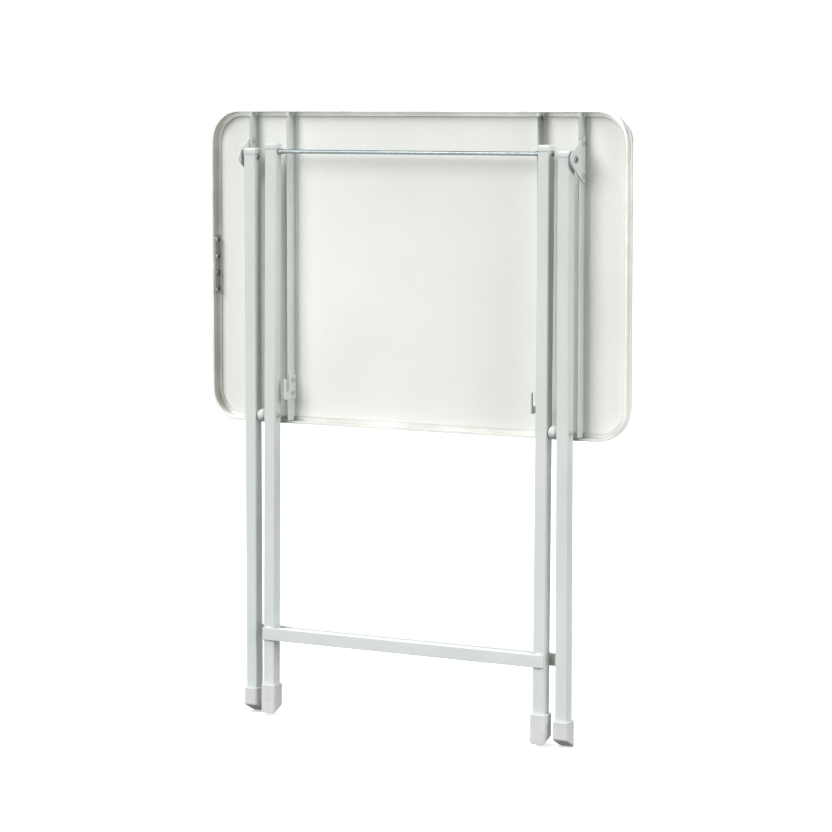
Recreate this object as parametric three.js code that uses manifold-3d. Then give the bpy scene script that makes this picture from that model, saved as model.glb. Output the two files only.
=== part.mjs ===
// Small folding table with scissor legs, folded flat and standing upright on its feet.
// Millimetres, +Z up. X runs along the long side of the top, and the underside and the legs face -Y.
import * as THREE from "three";
import { mergeVertices } from "three/addons/utils/BufferGeometryUtils.js";
import Module from "manifold-3d";

const wasm = await Module();
wasm.setup();

// ---- Driving dimensions ----

// Clearance between two pieces that touch, and around a shank in its hole.
const FIT = 0.3;
// How far a cutting tool runs past the faces it cuts.
const OVERCUT = 5;

// Tabletop: a thin board in an aluminium edge profile.
const TOP_WIDTH = 600;
const TOP_HEIGHT = 400;
const TOP_CORNER_RADIUS = 42;
const PANEL_THICKNESS = 3;
const EDGE_WALL = 4;
const EDGE_RECESS = 12.2;
const EDGE_LIP_REACH = 5;
const EDGE_LIP_THICKNESS = 1;
const EDGE_GROOVE_DEPTH = 0.8;
const EDGE_GROOVE_WIDTH = 3.2;
const EDGE_GROOVE_FROM_FRONT = 2;
const EDGE_RIB_WIDTH = 3.4;
const EDGE_BUTT_GAP = 0.6;

// Plate over the butt joint of the edge profile.
const JOINT_PLATE_LENGTH = 75;
const JOINT_PLATE_THICKNESS = 1.5;
const JOINT_PLATE_FROM_FRONT = 0.8;
const JOINT_RIVET_COUNT = 4;
const JOINT_RIVET_PITCH = 21;
const JOINT_RIVET_RADIUS = 1.5;
const JOINT_RIVET_HEAD_RADIUS = 2.6;
const JOINT_RIVET_HEAD_HEIGHT = 1.1;

// Leg tubes. The inner frame nests between the legs of the outer one.
const TUBE = 16;
const TUBE_WALL = 1.2;
const TUBE_CORNER_RADIUS = 2;
const OUTER_LEG_X = 225;
const INNER_LEG_X = 196;

// Pivots, measured along the legs from the scissor pivot.
const OUTER_UPPER = 329;
const OUTER_LOWER = 380.5;
const INNER_UPPER = 335.5;
const INNER_LOWER = 377.7;
// The top's upper edge above the hinge.
const HINGE_BELOW_EDGE = 60;
// The inner frame rests this far out of the outer frame's plane, feet forwards.
const FOLD_LEAN_DEG = 0.75;
// Slant of each frame's soles, so that they lie flat when the table stands open.
const OUTER_SOLE_DEG = 26.9;
const INNER_SOLE_DEG = 26;

// Feet and top caps: sleeves over the tube ends.
const FOOT_WALL = 2.5;
const OUTER_FOOT_SLEEVE = 19;
const INNER_FOOT_SLEEVE = 23.5;
const FOOT_SOLE_THICKNESS = 3.5;
const FOOT_EDGE_RADIUS = 1.6;
const CAP_WALL = 0.7;
const CAP_ABOVE_PIVOT = 11;
const CAP_SKIRT_ABOVE_PIVOT = 5;
const CAP_TOP_THICKNESS = 2;
const CAP_EDGE_RADIUS = 2.2;

// Crossbars with flattened ends, welded across the legs.
const BAR_HEIGHT = 16;
const BAR_DEPTH = 11;
const BAR_TAB_THICKNESS = 2.6;
const BAR_FLATTENING = 9;
const BAR_BELOW_PIVOT = 280;
// The outer crossbar's ends stop this far inside the legs' outer faces.
const OUTER_BAR_SHORT = 3;

// Rails under the top: an upright flange and a narrow foot.
const LEG_TO_RAIL = 3.2;
const RAIL_HEIGHT = 16.5;
const RAIL_THICKNESS = 1.2;
const RAIL_FOOT = 6;
const OUTER_RAIL_GAP = 2.4;
const INNER_RAIL_GAP = 7.3;

// Fin-shaped hinge plates on the outer rails: two straight sides and a round nose forwards.
const HINGE_PLATE_HALF_HEIGHT = 27.5;
const HINGE_PLATE_NOSE_RADIUS = 18;
const HINGE_PLATE_NOSE_AHEAD = 6.5;
const HINGE_PLATE_THICKNESS = 1.5;
const HINGE_PLATE_SHOULDER_BEHIND = 20;
const HINGE_PLATE_TO_FOOT = 1.2;
const HINGE_RIVET_SPREAD = 19.5;
const HINGE_RIVET_BEHIND = 20;

// Hook-shaped catches on the inner rails, which hold the rod when the table stands open.
const CATCH_BELOW_HINGE = 296;
const CATCH_SEAT_BEHIND = 8;
const CATCH_THICKNESS = 1.8;
const CATCH_SEAT_CLEARANCE = 1;
const CATCH_FINGER = 4.2;
const CATCH_FINGER_HEIGHT = 14;
const CATCH_HEIGHT = 19;
const CATCH_BOTTOM = 9;
const CATCH_CORNER_RADIUS = 1.8;
const CATCH_RIVET_BEHIND_LIP = 8;
const CATCH_RIVET_SPREAD = 8;
const CATCH_RIVET_RISE = 4;

// Rivets, rod and spacers.
const RIVET_RADIUS = 2;
const RIVET_HEAD_RADIUS = 3.8;
const RIVET_HEAD_HEIGHT = 1.6;
// Radius of a rivet head's flat crown, as a share of the head's own radius.
const RIVET_CROWN_SHARE = 0.55;
const PIVOT_RADIUS = 3;
const PIVOT_HEAD_RADIUS = 4.3;
const PIVOT_HEAD_HEIGHT = 2;
const WASHER_RADIUS = 4.4;
const SPACER_RADIUS = 8;
const SPACER_EDGE_RADIUS = 2.4;
// Where a spacer's round edge has its middle facet, as a share of its radius.
const SPACER_FACET_SHARE = 0.3;
const ROD_RADIUS = 2.5;
const ROD_COLLAR_RADIUS = 4;
const ROD_COLLAR_LENGTH = 6.4;
const ROD_COLLAR_TIP = 0.5;
const ROD_COLLAR_RIM = 1;

// Facets on round pieces.
const ROUND_SEGMENTS = 14;
const CORNER_SEGMENTS = 2;
const TOP_CORNER_SEGMENTS = 6;

// ---- Derived places ----

const HALF_TUBE = TUBE / 2;
const radians = THREE.MathUtils.degToRad;
const footHalf = HALF_TUBE + FIT + FOOT_WALL;
const soleDrop = (slantDeg) => footHalf * Math.tan(radians(slantDeg));

// Heights above the floor that the outer feet touch.
const scissorZ = OUTER_LOWER + soleDrop(OUTER_SOLE_DEG);
const hingeZ = scissorZ + OUTER_UPPER;
const topEdgeZ = hingeZ + HINGE_BELOW_EDGE;
const topCentreZ = topEdgeZ - TOP_HEIGHT / 2;
const seatZ = hingeZ - CATCH_BELOW_HINGE;

// Depths behind the legs' middle plane.
const railLipY = HALF_TUBE + LEG_TO_RAIL;
const railRootY = railLipY + RAIL_HEIGHT;
const panelUnderY = railRootY + FIT;
const panelTopY = panelUnderY + PANEL_THICKNESS;
const edgeFrontY = panelUnderY - EDGE_RECESS;
const lowerLipY = panelUnderY - FIT - EDGE_LIP_THICKNESS;
const edgeBackY = panelTopY + FIT + EDGE_LIP_THICKNESS;

// Distances from the middle of the table, on its right-hand side.
const outerLegFaceX = OUTER_LEG_X + HALF_TUBE;
const outerFlangeX = outerLegFaceX + OUTER_RAIL_GAP;
const hingePlateX = outerFlangeX + RAIL_THICKNESS + FIT;
const innerLegFaceX = INNER_LEG_X - HALF_TUBE;
const innerFlangeX = innerLegFaceX - INNER_RAIL_GAP;
const catchX = innerFlangeX - RAIL_THICKNESS - FIT - CATCH_THICKNESS;

// ---- Materials ----

function material(name, color, roughness, metalness) {
  return new THREE.MeshStandardMaterial({ name, color, roughness, metalness });
}

const materials = {
  board: material("board", 0xecebe6, 0.6, 0),
  aluminium: material("aluminium", 0xd2d3d0, 0.3, 1),
  paint: material("paint", 0xc9d2ce, 0.45, 0.1),
  zinc: material("zinc", 0xb9c1c4, 0.3, 1),
  plastic: material("plastic", 0xd3d5d2, 0.6, 0),
};

// ---- Making solids ----

// A closed three.js geometry as a manifold solid.
function solid(geometry) {
  const bare = geometry.index ? geometry.toNonIndexed() : geometry;
  bare.deleteAttribute("normal");
  bare.deleteAttribute("uv");
  const merged = mergeVertices(bare, 1e-4);
  const vertProperties = merged.attributes.position.array;
  const triVerts = new Uint32Array(merged.index.array);
  return new wasm.Manifold(new wasm.Mesh({ numProp: 3, vertProperties, triVerts }));
}

// A manifold solid as a flat-shaded three.js geometry.
function geometryOf(manifold) {
  const { numProp, vertProperties, triVerts } = manifold.getMesh();
  const positions = new Float32Array((vertProperties.length / numProp) * 3);
  for (let i = 0; i < positions.length / 3; i += 1) {
    positions.set(vertProperties.subarray(i * numProp, i * numProp + 3), i * 3);
  }
  const geometry = new THREE.BufferGeometry();
  geometry.setAttribute("position", new THREE.BufferAttribute(positions, 3));
  geometry.setIndex(new THREE.BufferAttribute(triVerts, 1));
  const flat = geometry.toNonIndexed();
  flat.computeVertexNormals();
  return flat;
}

function join(solids) {
  return solids.reduce((whole, piece) => whole.add(piece));
}

function box(x0, x1, y0, y1, z0, z1) {
  const geometry = new THREE.BoxGeometry(x1 - x0, y1 - y0, z1 - z0);
  return solid(geometry.translate((x0 + x1) / 2, (y0 + y1) / 2, (z0 + z1) / 2));
}

// A rectangle with round corners about the origin of its own plane.
function roundedRectangle(Outline, width, height, radius) {
  const x = width / 2 - radius;
  const y = height / 2 - radius;
  const outline = new Outline();
  outline.absarc(x, y, radius, 0, Math.PI / 2);
  outline.absarc(-x, y, radius, Math.PI / 2, Math.PI);
  outline.absarc(-x, -y, radius, Math.PI, 1.5 * Math.PI);
  outline.absarc(x, -y, radius, 1.5 * Math.PI, 2 * Math.PI);
  outline.closePath();
  return outline;
}

function polygon(points) {
  return new THREE.Shape(points.map(([x, y]) => new THREE.Vector2(x, y)));
}

function extruded(shape, length, curveSegments) {
  return new THREE.ExtrudeGeometry(shape, { depth: length, bevelEnabled: false, curveSegments });
}

// A shape drawn in X and Y, standing from z0 to z1.
function standing(shape, z0, z1, curveSegments = CORNER_SEGMENTS) {
  return solid(extruded(shape, z1 - z0, curveSegments).translate(0, 0, z0));
}

// A shape drawn in X and Z, running back from y0 to y1.
function upright(shape, y0, y1, curveSegments = TOP_CORNER_SEGMENTS) {
  const geometry = extruded(shape, y1 - y0, curveSegments);
  return solid(geometry.rotateX(Math.PI / 2).translate(0, y1, 0));
}

// A shape drawn in Y and Z, running sideways from x0 to x1.
function sideways(shape, x0, x1, curveSegments = ROUND_SEGMENTS / 2) {
  const geometry = extruded(shape, x1 - x0, curveSegments);
  const turn = new THREE.Matrix4().makeBasis(
    new THREE.Vector3(0, 1, 0),
    new THREE.Vector3(0, 0, 1),
    new THREE.Vector3(1, 0, 0),
  );
  return solid(geometry.applyMatrix4(turn).translate(x0, 0, 0));
}

// A turned piece about an axis along X through (y, z). The profile lists [x, radius] pairs.
function turned(profile, y, z) {
  const points = profile.map(([x, radius]) => new THREE.Vector2(radius, x));
  const geometry = new THREE.LatheGeometry(points, ROUND_SEGMENTS);
  return solid(geometry.rotateZ(-Math.PI / 2).translate(0, y, z));
}

function rodAlongX(x0, x1, radius, y, z) {
  return turned([[x0, 0], [x0, radius], [x1, radius], [x1, 0]], y, z);
}

// A rivet with its shank from x0 to x1 and a domed head beyond one or both ends.
function rivet({ x0, x1, radius, headRadius, headHeight, lowHead = true, highHead = true, y, z }) {
  const crown = headRadius * RIVET_CROWN_SHARE;
  const profile = [];
  if (lowHead) {
    profile.push([x0 - headHeight, 0], [x0 - headHeight, crown], [x0, headRadius], [x0, radius]);
  } else {
    profile.push([x0, 0], [x0, radius]);
  }
  if (highHead) {
    profile.push([x1, radius], [x1, headRadius], [x1 + headHeight, crown], [x1 + headHeight, 0]);
  } else {
    profile.push([x1, radius], [x1, 0]);
  }
  return turned(profile, y, z);
}

// The upright edges keep at least this radius at the narrow end of a rounded block.
const LEAST_CORNER_RADIUS = 0.4;

// A standing block with round upright edges, and rounded edges round one end.
function roundEndedBlock(half, cornerRadius, edgeRadius, z0, z1, roundEnd) {
  const inner = 2 * (half - edgeRadius);
  const corner = Math.max(cornerRadius - edgeRadius, LEAST_CORNER_RADIUS);
  const shape = roundedRectangle(THREE.Shape, inner, inner, corner);
  const length = z1 - z0;
  const geometry = new THREE.ExtrudeGeometry(shape, {
    depth: length,
    bevelSize: edgeRadius,
    bevelThickness: edgeRadius,
    bevelSegments: CORNER_SEGMENTS,
    curveSegments: CORNER_SEGMENTS,
  });
  const start = roundEnd === "top" ? z0 - edgeRadius : z0 + edgeRadius;
  const keep = box(-half - OVERCUT, half + OVERCUT, -half - OVERCUT, half + OVERCUT, z0, z1);
  return solid(geometry.translate(0, 0, start)).intersect(keep);
}

function moved(manifold, x, y, z) {
  return manifold.translate([x, y, z]);
}

// ---- Scene graph helpers ----

function addMesh(group, name, manifold, finish) {
  const mesh = new THREE.Mesh(geometryOf(manifold), finish);
  mesh.name = name;
  group.add(mesh);
  return mesh;
}

// A right-hand piece and its mirror image on the left.
function addPair(group, name, manifold, finish) {
  addMesh(group, `${name}_right`, manifold, finish);
  addMesh(group, `${name}_left`, manifold, finish).scale.x = -1;
}

// ---- Tabletop ----

// One layer of the edge profile, between two distances in from its outer face.
function edgeLayer(outerInset, innerInset, y0, y1) {
  const outline = (Outline, inset) =>
    roundedRectangle(
      Outline,
      TOP_WIDTH - 2 * inset,
      TOP_HEIGHT - 2 * inset,
      TOP_CORNER_RADIUS - inset,
    );
  const shape = outline(THREE.Shape, outerInset);
  shape.holes.push(outline(THREE.Path, innerInset));
  return upright(shape, y0, y1);
}

function edgeFrame() {
  const lipInset = EDGE_WALL + EDGE_LIP_REACH;
  const grooveFrom = edgeFrontY + EDGE_GROOVE_FROM_FRONT;
  const grooveTo = grooveFrom + EDGE_GROOVE_WIDTH;
  const secondFrom = grooveTo + EDGE_RIB_WIDTH;
  const frame = join([
    edgeLayer(0, EDGE_WALL, edgeFrontY, grooveFrom),
    edgeLayer(EDGE_GROOVE_DEPTH, EDGE_WALL, grooveFrom, grooveTo),
    edgeLayer(0, EDGE_WALL, grooveTo, secondFrom),
    edgeLayer(EDGE_GROOVE_DEPTH, EDGE_WALL, secondFrom, secondFrom + EDGE_GROOVE_WIDTH),
    edgeLayer(0, EDGE_WALL, secondFrom + EDGE_GROOVE_WIDTH, edgeBackY),
    edgeLayer(EDGE_WALL / 2, lipInset, lowerLipY, lowerLipY + EDGE_LIP_THICKNESS),
    edgeLayer(EDGE_WALL / 2, lipInset, panelTopY + FIT, edgeBackY),
  ]);
  const buttGap = box(
    -TOP_WIDTH / 2 - OVERCUT,
    -TOP_WIDTH / 2 + lipInset + OVERCUT,
    edgeFrontY - OVERCUT,
    edgeBackY + OVERCUT,
    -EDGE_BUTT_GAP / 2,
    EDGE_BUTT_GAP / 2,
  );
  return moved(frame.subtract(buttGap), 0, 0, topCentreZ);
}

function tabletopPanel() {
  const inset = EDGE_WALL + FIT;
  const shape = roundedRectangle(
    THREE.Shape,
    TOP_WIDTH - 2 * inset,
    TOP_HEIGHT - 2 * inset,
    TOP_CORNER_RADIUS - inset,
  );
  return moved(upright(shape, panelUnderY, panelTopY), 0, 0, topCentreZ);
}

// The plate lies on the inside of the profile's left-hand wall.
const jointPlateX = -TOP_WIDTH / 2 + EDGE_WALL + FIT;
const jointPlateY0 = edgeFrontY + JOINT_PLATE_FROM_FRONT;
const jointPlateY1 = lowerLipY - FIT;
const jointRivetY = (jointPlateY0 + jointPlateY1) / 2;

function jointRivetHeights() {
  const middle = (JOINT_RIVET_COUNT - 1) / 2;
  return Array.from({ length: JOINT_RIVET_COUNT }, (_, i) => topCentreZ + (middle - i) * JOINT_RIVET_PITCH);
}

function jointHole(z) {
  const radius = JOINT_RIVET_RADIUS + FIT;
  return rodAlongX(jointPlateX - OVERCUT, jointPlateX + OVERCUT, radius, jointRivetY, z);
}

function edgeJointPlate() {
  const plate = box(
    jointPlateX,
    jointPlateX + JOINT_PLATE_THICKNESS,
    jointPlateY0,
    jointPlateY1,
    topCentreZ - JOINT_PLATE_LENGTH / 2,
    topCentreZ + JOINT_PLATE_LENGTH / 2,
  );
  return plate.subtract(join(jointRivetHeights().map(jointHole)));
}

function edgeJointRivet(z) {
  return rivet({
    x0: jointPlateX - EDGE_WALL / 2,
    x1: jointPlateX + JOINT_PLATE_THICKNESS + FIT,
    radius: JOINT_RIVET_RADIUS,
    headRadius: JOINT_RIVET_HEAD_RADIUS,
    headHeight: JOINT_RIVET_HEAD_HEIGHT,
    lowHead: false,
    y: jointRivetY,
    z,
  });
}

// Blind seats for the joint rivets in the profile's wall.
function jointRivetSeat(z) {
  const radius = JOINT_RIVET_RADIUS + FIT;
  return rodAlongX(jointPlateX - EDGE_WALL / 2 - FIT, jointPlateX + FIT, radius, jointRivetY, z);
}

// ---- Rails, hinge plates and catches ----

const lipInsetFromEdge = EDGE_WALL + EDGE_LIP_REACH + FIT;
const railTongueInset = EDGE_WALL + FIT;

// A rail's flange stands at faceX, its thickness and its foot running in the direction outward.
function rail(faceX, outward) {
  const back = faceX + outward * RAIL_THICKNESS;
  const toe = back + outward * RAIL_FOOT;
  const section = polygon([
    [faceX, railLipY],
    [faceX, railRootY],
    [toe, railRootY],
    [toe, railRootY - RAIL_THICKNESS],
    [back, railRootY - RAIL_THICKNESS],
    [back, railLipY],
  ]);
  const low = topEdgeZ - TOP_HEIGHT;
  const body = standing(section, low + lipInsetFromEdge, topEdgeZ - lipInsetFromEdge);
  // The flange runs on over the profile's lip to its wall.
  const tongue = box(
    Math.min(faceX, back),
    Math.max(faceX, back),
    railLipY,
    lowerLipY - FIT,
    low + railTongueInset,
    topEdgeZ - railTongueInset,
  );
  return body.add(tongue);
}

const hingeRivetPlaces = [
  ["upper", hingeZ + HINGE_RIVET_SPREAD],
  ["lower", hingeZ - HINGE_RIVET_SPREAD],
];

function hingeRivetHole(z) {
  const x1 = hingePlateX + HINGE_PLATE_THICKNESS + OVERCUT;
  return rodAlongX(outerFlangeX - OVERCUT, x1, RIVET_RADIUS + FIT, HINGE_RIVET_BEHIND, z);
}

function outerRail() {
  return rail(outerFlangeX, 1).subtract(join(hingeRivetPlaces.map(([, z]) => hingeRivetHole(z))));
}

// A fin, its nose forwards, with a straight back above the rail's foot.
function hingePlate() {
  const backY = railRootY - RAIL_THICKNESS - HINGE_PLATE_TO_FOOT;
  const noseY = HINGE_PLATE_NOSE_RADIUS - HINGE_PLATE_NOSE_AHEAD;
  const shoulder = HINGE_PLATE_SHOULDER_BEHIND - noseY;
  const reach = Math.hypot(shoulder, HINGE_PLATE_HALF_HEIGHT);
  // The angle about the nose's centre at which each side touches the nose.
  const touch = Math.atan2(HINGE_PLATE_HALF_HEIGHT, shoulder) + Math.acos(HINGE_PLATE_NOSE_RADIUS / reach);
  const shape = new THREE.Shape();
  shape.moveTo(backY, HINGE_PLATE_HALF_HEIGHT);
  shape.lineTo(HINGE_PLATE_SHOULDER_BEHIND, HINGE_PLATE_HALF_HEIGHT);
  shape.absarc(noseY, 0, HINGE_PLATE_NOSE_RADIUS, touch, 2 * Math.PI - touch);
  shape.lineTo(HINGE_PLATE_SHOULDER_BEHIND, -HINGE_PLATE_HALF_HEIGHT);
  shape.lineTo(backY, -HINGE_PLATE_HALF_HEIGHT);
  shape.closePath();
  const x1 = hingePlateX + HINGE_PLATE_THICKNESS;
  const plate = moved(sideways(shape, hingePlateX, x1), 0, 0, hingeZ);
  const pivotHole = rodAlongX(hingePlateX - OVERCUT, x1 + OVERCUT, PIVOT_RADIUS + FIT, 0, hingeZ);
  return plate.subtract(join([pivotHole, ...hingeRivetPlaces.map(([, z]) => hingeRivetHole(z))]));
}

function hingeRivet(z) {
  return rivet({
    x0: outerFlangeX - FIT,
    x1: hingePlateX + HINGE_PLATE_THICKNESS + FIT,
    radius: RIVET_RADIUS,
    headRadius: RIVET_HEAD_RADIUS,
    headHeight: RIVET_HEAD_HEIGHT,
    y: HINGE_RIVET_BEHIND,
    z,
  });
}

const catchRivetPlaces = [
  ["upper", seatZ + CATCH_RIVET_RISE + CATCH_RIVET_SPREAD],
  ["lower", seatZ + CATCH_RIVET_RISE - CATCH_RIVET_SPREAD],
];
const catchRivetY = railLipY + CATCH_RIVET_BEHIND_LIP;

function catchRivetHole(z) {
  return rodAlongX(catchX - OVERCUT, innerFlangeX + OVERCUT, RIVET_RADIUS + FIT, catchRivetY, z);
}

function innerRail() {
  return rail(innerFlangeX, -1).subtract(join(catchRivetPlaces.map(([, z]) => catchRivetHole(z))));
}

// A hook that opens upwards, towards the hinge, in front of the rail's lip.
function catchPlate() {
  const slotRadius = ROD_RADIUS + CATCH_SEAT_CLEARANCE;
  const slotFront = CATCH_SEAT_BEHIND - slotRadius;
  const slotBack = CATCH_SEAT_BEHIND + slotRadius;
  const front = slotFront - CATCH_FINGER;
  const back = railRootY - RAIL_THICKNESS - FIT;
  const bottom = -slotRadius - CATCH_BOTTOM;
  const r = CATCH_CORNER_RADIUS;
  const shape = new THREE.Shape();
  shape.moveTo(slotFront, 0);
  shape.lineTo(slotFront, CATCH_FINGER_HEIGHT - r);
  shape.absarc(slotFront - r, CATCH_FINGER_HEIGHT - r, r, 0, Math.PI / 2);
  shape.absarc(front + r, CATCH_FINGER_HEIGHT - r, r, Math.PI / 2, Math.PI);
  shape.absarc(front + r, bottom + r, r, Math.PI, 1.5 * Math.PI);
  shape.lineTo(back, bottom);
  shape.lineTo(back, CATCH_HEIGHT);
  shape.absarc(slotBack + r, CATCH_HEIGHT - r, r, Math.PI / 2, Math.PI);
  shape.lineTo(slotBack, 0);
  shape.absarc(CATCH_SEAT_BEHIND, 0, slotRadius, 0, -Math.PI, true);
  const plate = moved(sideways(shape, catchX, catchX + CATCH_THICKNESS), 0, 0, seatZ);
  return plate.subtract(join(catchRivetPlaces.map(([, z]) => catchRivetHole(z))));
}

function catchRivet(z) {
  return rivet({
    x0: catchX - FIT,
    x1: innerFlangeX + FIT,
    radius: RIVET_RADIUS,
    headRadius: RIVET_HEAD_RADIUS,
    headHeight: RIVET_HEAD_HEIGHT,
    y: catchRivetY,
    z,
  });
}

function addTabletop(table) {
  const top = new THREE.Group();
  const seats = join(jointRivetHeights().map(jointRivetSeat));
  addMesh(top, "tabletop_panel", tabletopPanel(), materials.board);
  addMesh(top, "edge_frame", edgeFrame().subtract(seats), materials.aluminium);
  addMesh(top, "edge_joint_plate", edgeJointPlate(), materials.aluminium);
  jointRivetHeights().forEach((z, i) =>
    addMesh(top, `edge_joint_rivet_${i + 1}`, edgeJointRivet(z), materials.zinc),
  );
  addPair(top, "outer_rail", outerRail(), materials.paint);
  addPair(top, "inner_rail", innerRail(), materials.paint);
  addPair(top, "hinge_plate", hingePlate(), materials.paint);
  hingeRivetPlaces.forEach(([place, z]) =>
    addPair(top, `hinge_plate_rivet_${place}`, hingeRivet(z), materials.zinc),
  );
  addPair(top, "catch", catchPlate(), materials.paint);
  catchRivetPlaces.forEach(([place, z]) =>
    addPair(top, `catch_rivet_${place}`, catchRivet(z), materials.zinc),
  );
  table.add(top);
}

// ---- Leg frames, each drawn about its scissor pivot ----

// A square tube from z0 to z1 with cross holes of the given radii.
function legTube(x, z0, z1, holes) {
  const shape = roundedRectangle(THREE.Shape, TUBE, TUBE, TUBE_CORNER_RADIUS);
  const bore = TUBE - 2 * TUBE_WALL;
  shape.holes.push(roundedRectangle(THREE.Path, bore, bore, TUBE_CORNER_RADIUS - TUBE_WALL));
  const tube = moved(standing(shape, z0, z1), x, 0, 0);
  const drills = holes.map(({ radius, z }) =>
    rodAlongX(x - HALF_TUBE - OVERCUT, x + HALF_TUBE + OVERCUT, radius + FIT, 0, z),
  );
  return tube.subtract(join(drills));
}

function tubeEnds({ upper, lower, soleDeg }) {
  const top = upper + CAP_ABOVE_PIVOT - CAP_TOP_THICKNESS - FIT;
  const bottom = -lower + soleDrop(soleDeg) + FOOT_SOLE_THICKNESS + FIT;
  return { top, bottom };
}

// A sleeve over the tube's upper end, closed and rounded at the top.
function topCap(x, frame) {
  const half = HALF_TUBE + FIT + CAP_WALL;
  const top = frame.upper + CAP_ABOVE_PIVOT;
  const skirt = frame.upper + CAP_SKIRT_ABOVE_PIVOT;
  const corner = TUBE_CORNER_RADIUS + FIT + CAP_WALL;
  const block = roundEndedBlock(half, corner, CAP_EDGE_RADIUS, skirt, top, "top");
  return moved(block.subtract(tubeRoom(skirt - OVERCUT, top - CAP_TOP_THICKNESS)), x, 0, 0);
}

// The tube's outside with its clearance, as a cutting tool.
function tubeRoom(z0, z1) {
  const side = TUBE + 2 * FIT;
  return standing(roundedRectangle(THREE.Shape, side, side, TUBE_CORNER_RADIUS + FIT), z0, z1);
}

// A sleeve foot with a slanted sole. Facing is -1 when the sole faces forwards and 1 when it faces back.
function foot(x, frame, facing) {
  const rise = soleDrop(frame.soleDeg);
  const { bottom } = tubeEnds(frame);
  const top = bottom + frame.footSleeve;
  const corner = TUBE_CORNER_RADIUS + FIT + FOOT_WALL;
  const low = -frame.lower - rise;
  const block = roundEndedBlock(footHalf, corner, FOOT_EDGE_RADIUS, low, top, "bottom");
  const hollow = tubeRoom(bottom - FIT, top + OVERCUT);
  const under = polygon([
    [-2 * footHalf, -frame.lower - 2 * facing * rise],
    [2 * footHalf, -frame.lower + 2 * facing * rise],
    [2 * footHalf, low - 2 * rise - OVERCUT],
    [-2 * footHalf, low - 2 * rise - OVERCUT],
  ]);
  const wedge = sideways(under, -footHalf - OVERCUT, footHalf + OVERCUT);
  return moved(block.subtract(hollow).subtract(wedge), x, 0, 0);
}

// A crossbar seen from above: flattened tabs over the legs, and a deeper body between them.
// Depths are measured from the legs' faces, and away is the direction that leads off them.
function crossbar({ halfLength, bodyHalf, bodyNear, away }) {
  const at = (depth) => away * (HALF_TUBE + depth);
  const bodyFar = Math.max(bodyNear + BAR_DEPTH, BAR_TAB_THICKNESS + FIT);
  const taper = bodyHalf - BAR_FLATTENING;
  const half = [
    [halfLength, at(FIT)],
    [halfLength, at(FIT + BAR_TAB_THICKNESS)],
    [bodyHalf, at(FIT + BAR_TAB_THICKNESS)],
    [taper, at(bodyFar)],
    [-taper, at(bodyFar)],
    [-bodyHalf, at(FIT + BAR_TAB_THICKNESS)],
    [-halfLength, at(FIT + BAR_TAB_THICKNESS)],
    [-halfLength, at(FIT)],
    [-bodyHalf, at(FIT)],
    [-taper, at(bodyNear)],
    [taper, at(bodyNear)],
    [bodyHalf, at(FIT)],
  ];
  const middle = -BAR_BELOW_PIVOT;
  return standing(polygon(half), middle - BAR_HEIGHT / 2, middle + BAR_HEIGHT / 2);
}

const outerFrame = {
  x: OUTER_LEG_X,
  upper: OUTER_UPPER,
  lower: OUTER_LOWER,
  soleDeg: OUTER_SOLE_DEG,
  footSleeve: OUTER_FOOT_SLEEVE,
  upperHole: PIVOT_RADIUS,
};
const innerFrame = {
  x: INNER_LEG_X,
  upper: INNER_UPPER,
  lower: INNER_LOWER,
  soleDeg: INNER_SOLE_DEG,
  footSleeve: INNER_FOOT_SLEEVE,
  upperHole: ROD_RADIUS,
};

function frameLeg(frame) {
  const { top, bottom } = tubeEnds(frame);
  return legTube(frame.x, bottom, top, [
    { radius: frame.upperHole, z: frame.upper },
    { radius: PIVOT_RADIUS, z: 0 },
  ]);
}

// The outer crossbar lies behind its legs, clear of the inner frame.
function outerCrossbar() {
  return crossbar({
    halfLength: outerLegFaceX - OUTER_BAR_SHORT,
    bodyHalf: OUTER_LEG_X - HALF_TUBE,
    bodyNear: FIT,
    away: 1,
  });
}

// The inner crossbar lies across the front of its legs, and its body sinks in between them.
function innerCrossbar() {
  return crossbar({
    halfLength: INNER_LEG_X + HALF_TUBE,
    bodyHalf: innerLegFaceX - FIT,
    bodyNear: FIT + BAR_TAB_THICKNESS - BAR_DEPTH,
    away: -1,
  });
}

function hingePivot() {
  return rivet({
    x0: OUTER_LEG_X - HALF_TUBE - FIT,
    x1: hingePlateX + HINGE_PLATE_THICKNESS + FIT,
    radius: PIVOT_RADIUS,
    headRadius: PIVOT_HEAD_RADIUS,
    headHeight: PIVOT_HEAD_HEIGHT,
    y: 0,
    z: OUTER_UPPER,
  });
}

// A flat ring around a shank, from x0 to x1.
function ring(x0, x1, outer, shank, z) {
  const bore = rodAlongX(x0 - OVERCUT, x1 + OVERCUT, shank + FIT, 0, z);
  return rodAlongX(x0, x1, outer, 0, z).subtract(bore);
}

function hingeWasher() {
  return ring(outerLegFaceX + FIT, hingePlateX - FIT, WASHER_RADIUS, PIVOT_RADIUS, OUTER_UPPER);
}

// The pin is in two halves that meet at the spacer's inner face, one in each frame.
const scissorSplitX = INNER_LEG_X + HALF_TUBE + FIT;

function scissorPivotOuter() {
  return rivet({
    x0: scissorSplitX,
    x1: outerLegFaceX + FIT,
    radius: PIVOT_RADIUS,
    headRadius: RIVET_HEAD_RADIUS,
    headHeight: RIVET_HEAD_HEIGHT,
    lowHead: false,
    y: 0,
    z: 0,
  });
}

function scissorPivotInner() {
  return rivet({
    x0: innerLegFaceX - FIT,
    x1: scissorSplitX - FIT,
    radius: PIVOT_RADIUS,
    headRadius: RIVET_HEAD_RADIUS,
    headHeight: RIVET_HEAD_HEIGHT,
    highHead: false,
    y: 0,
    z: 0,
  });
}

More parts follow.
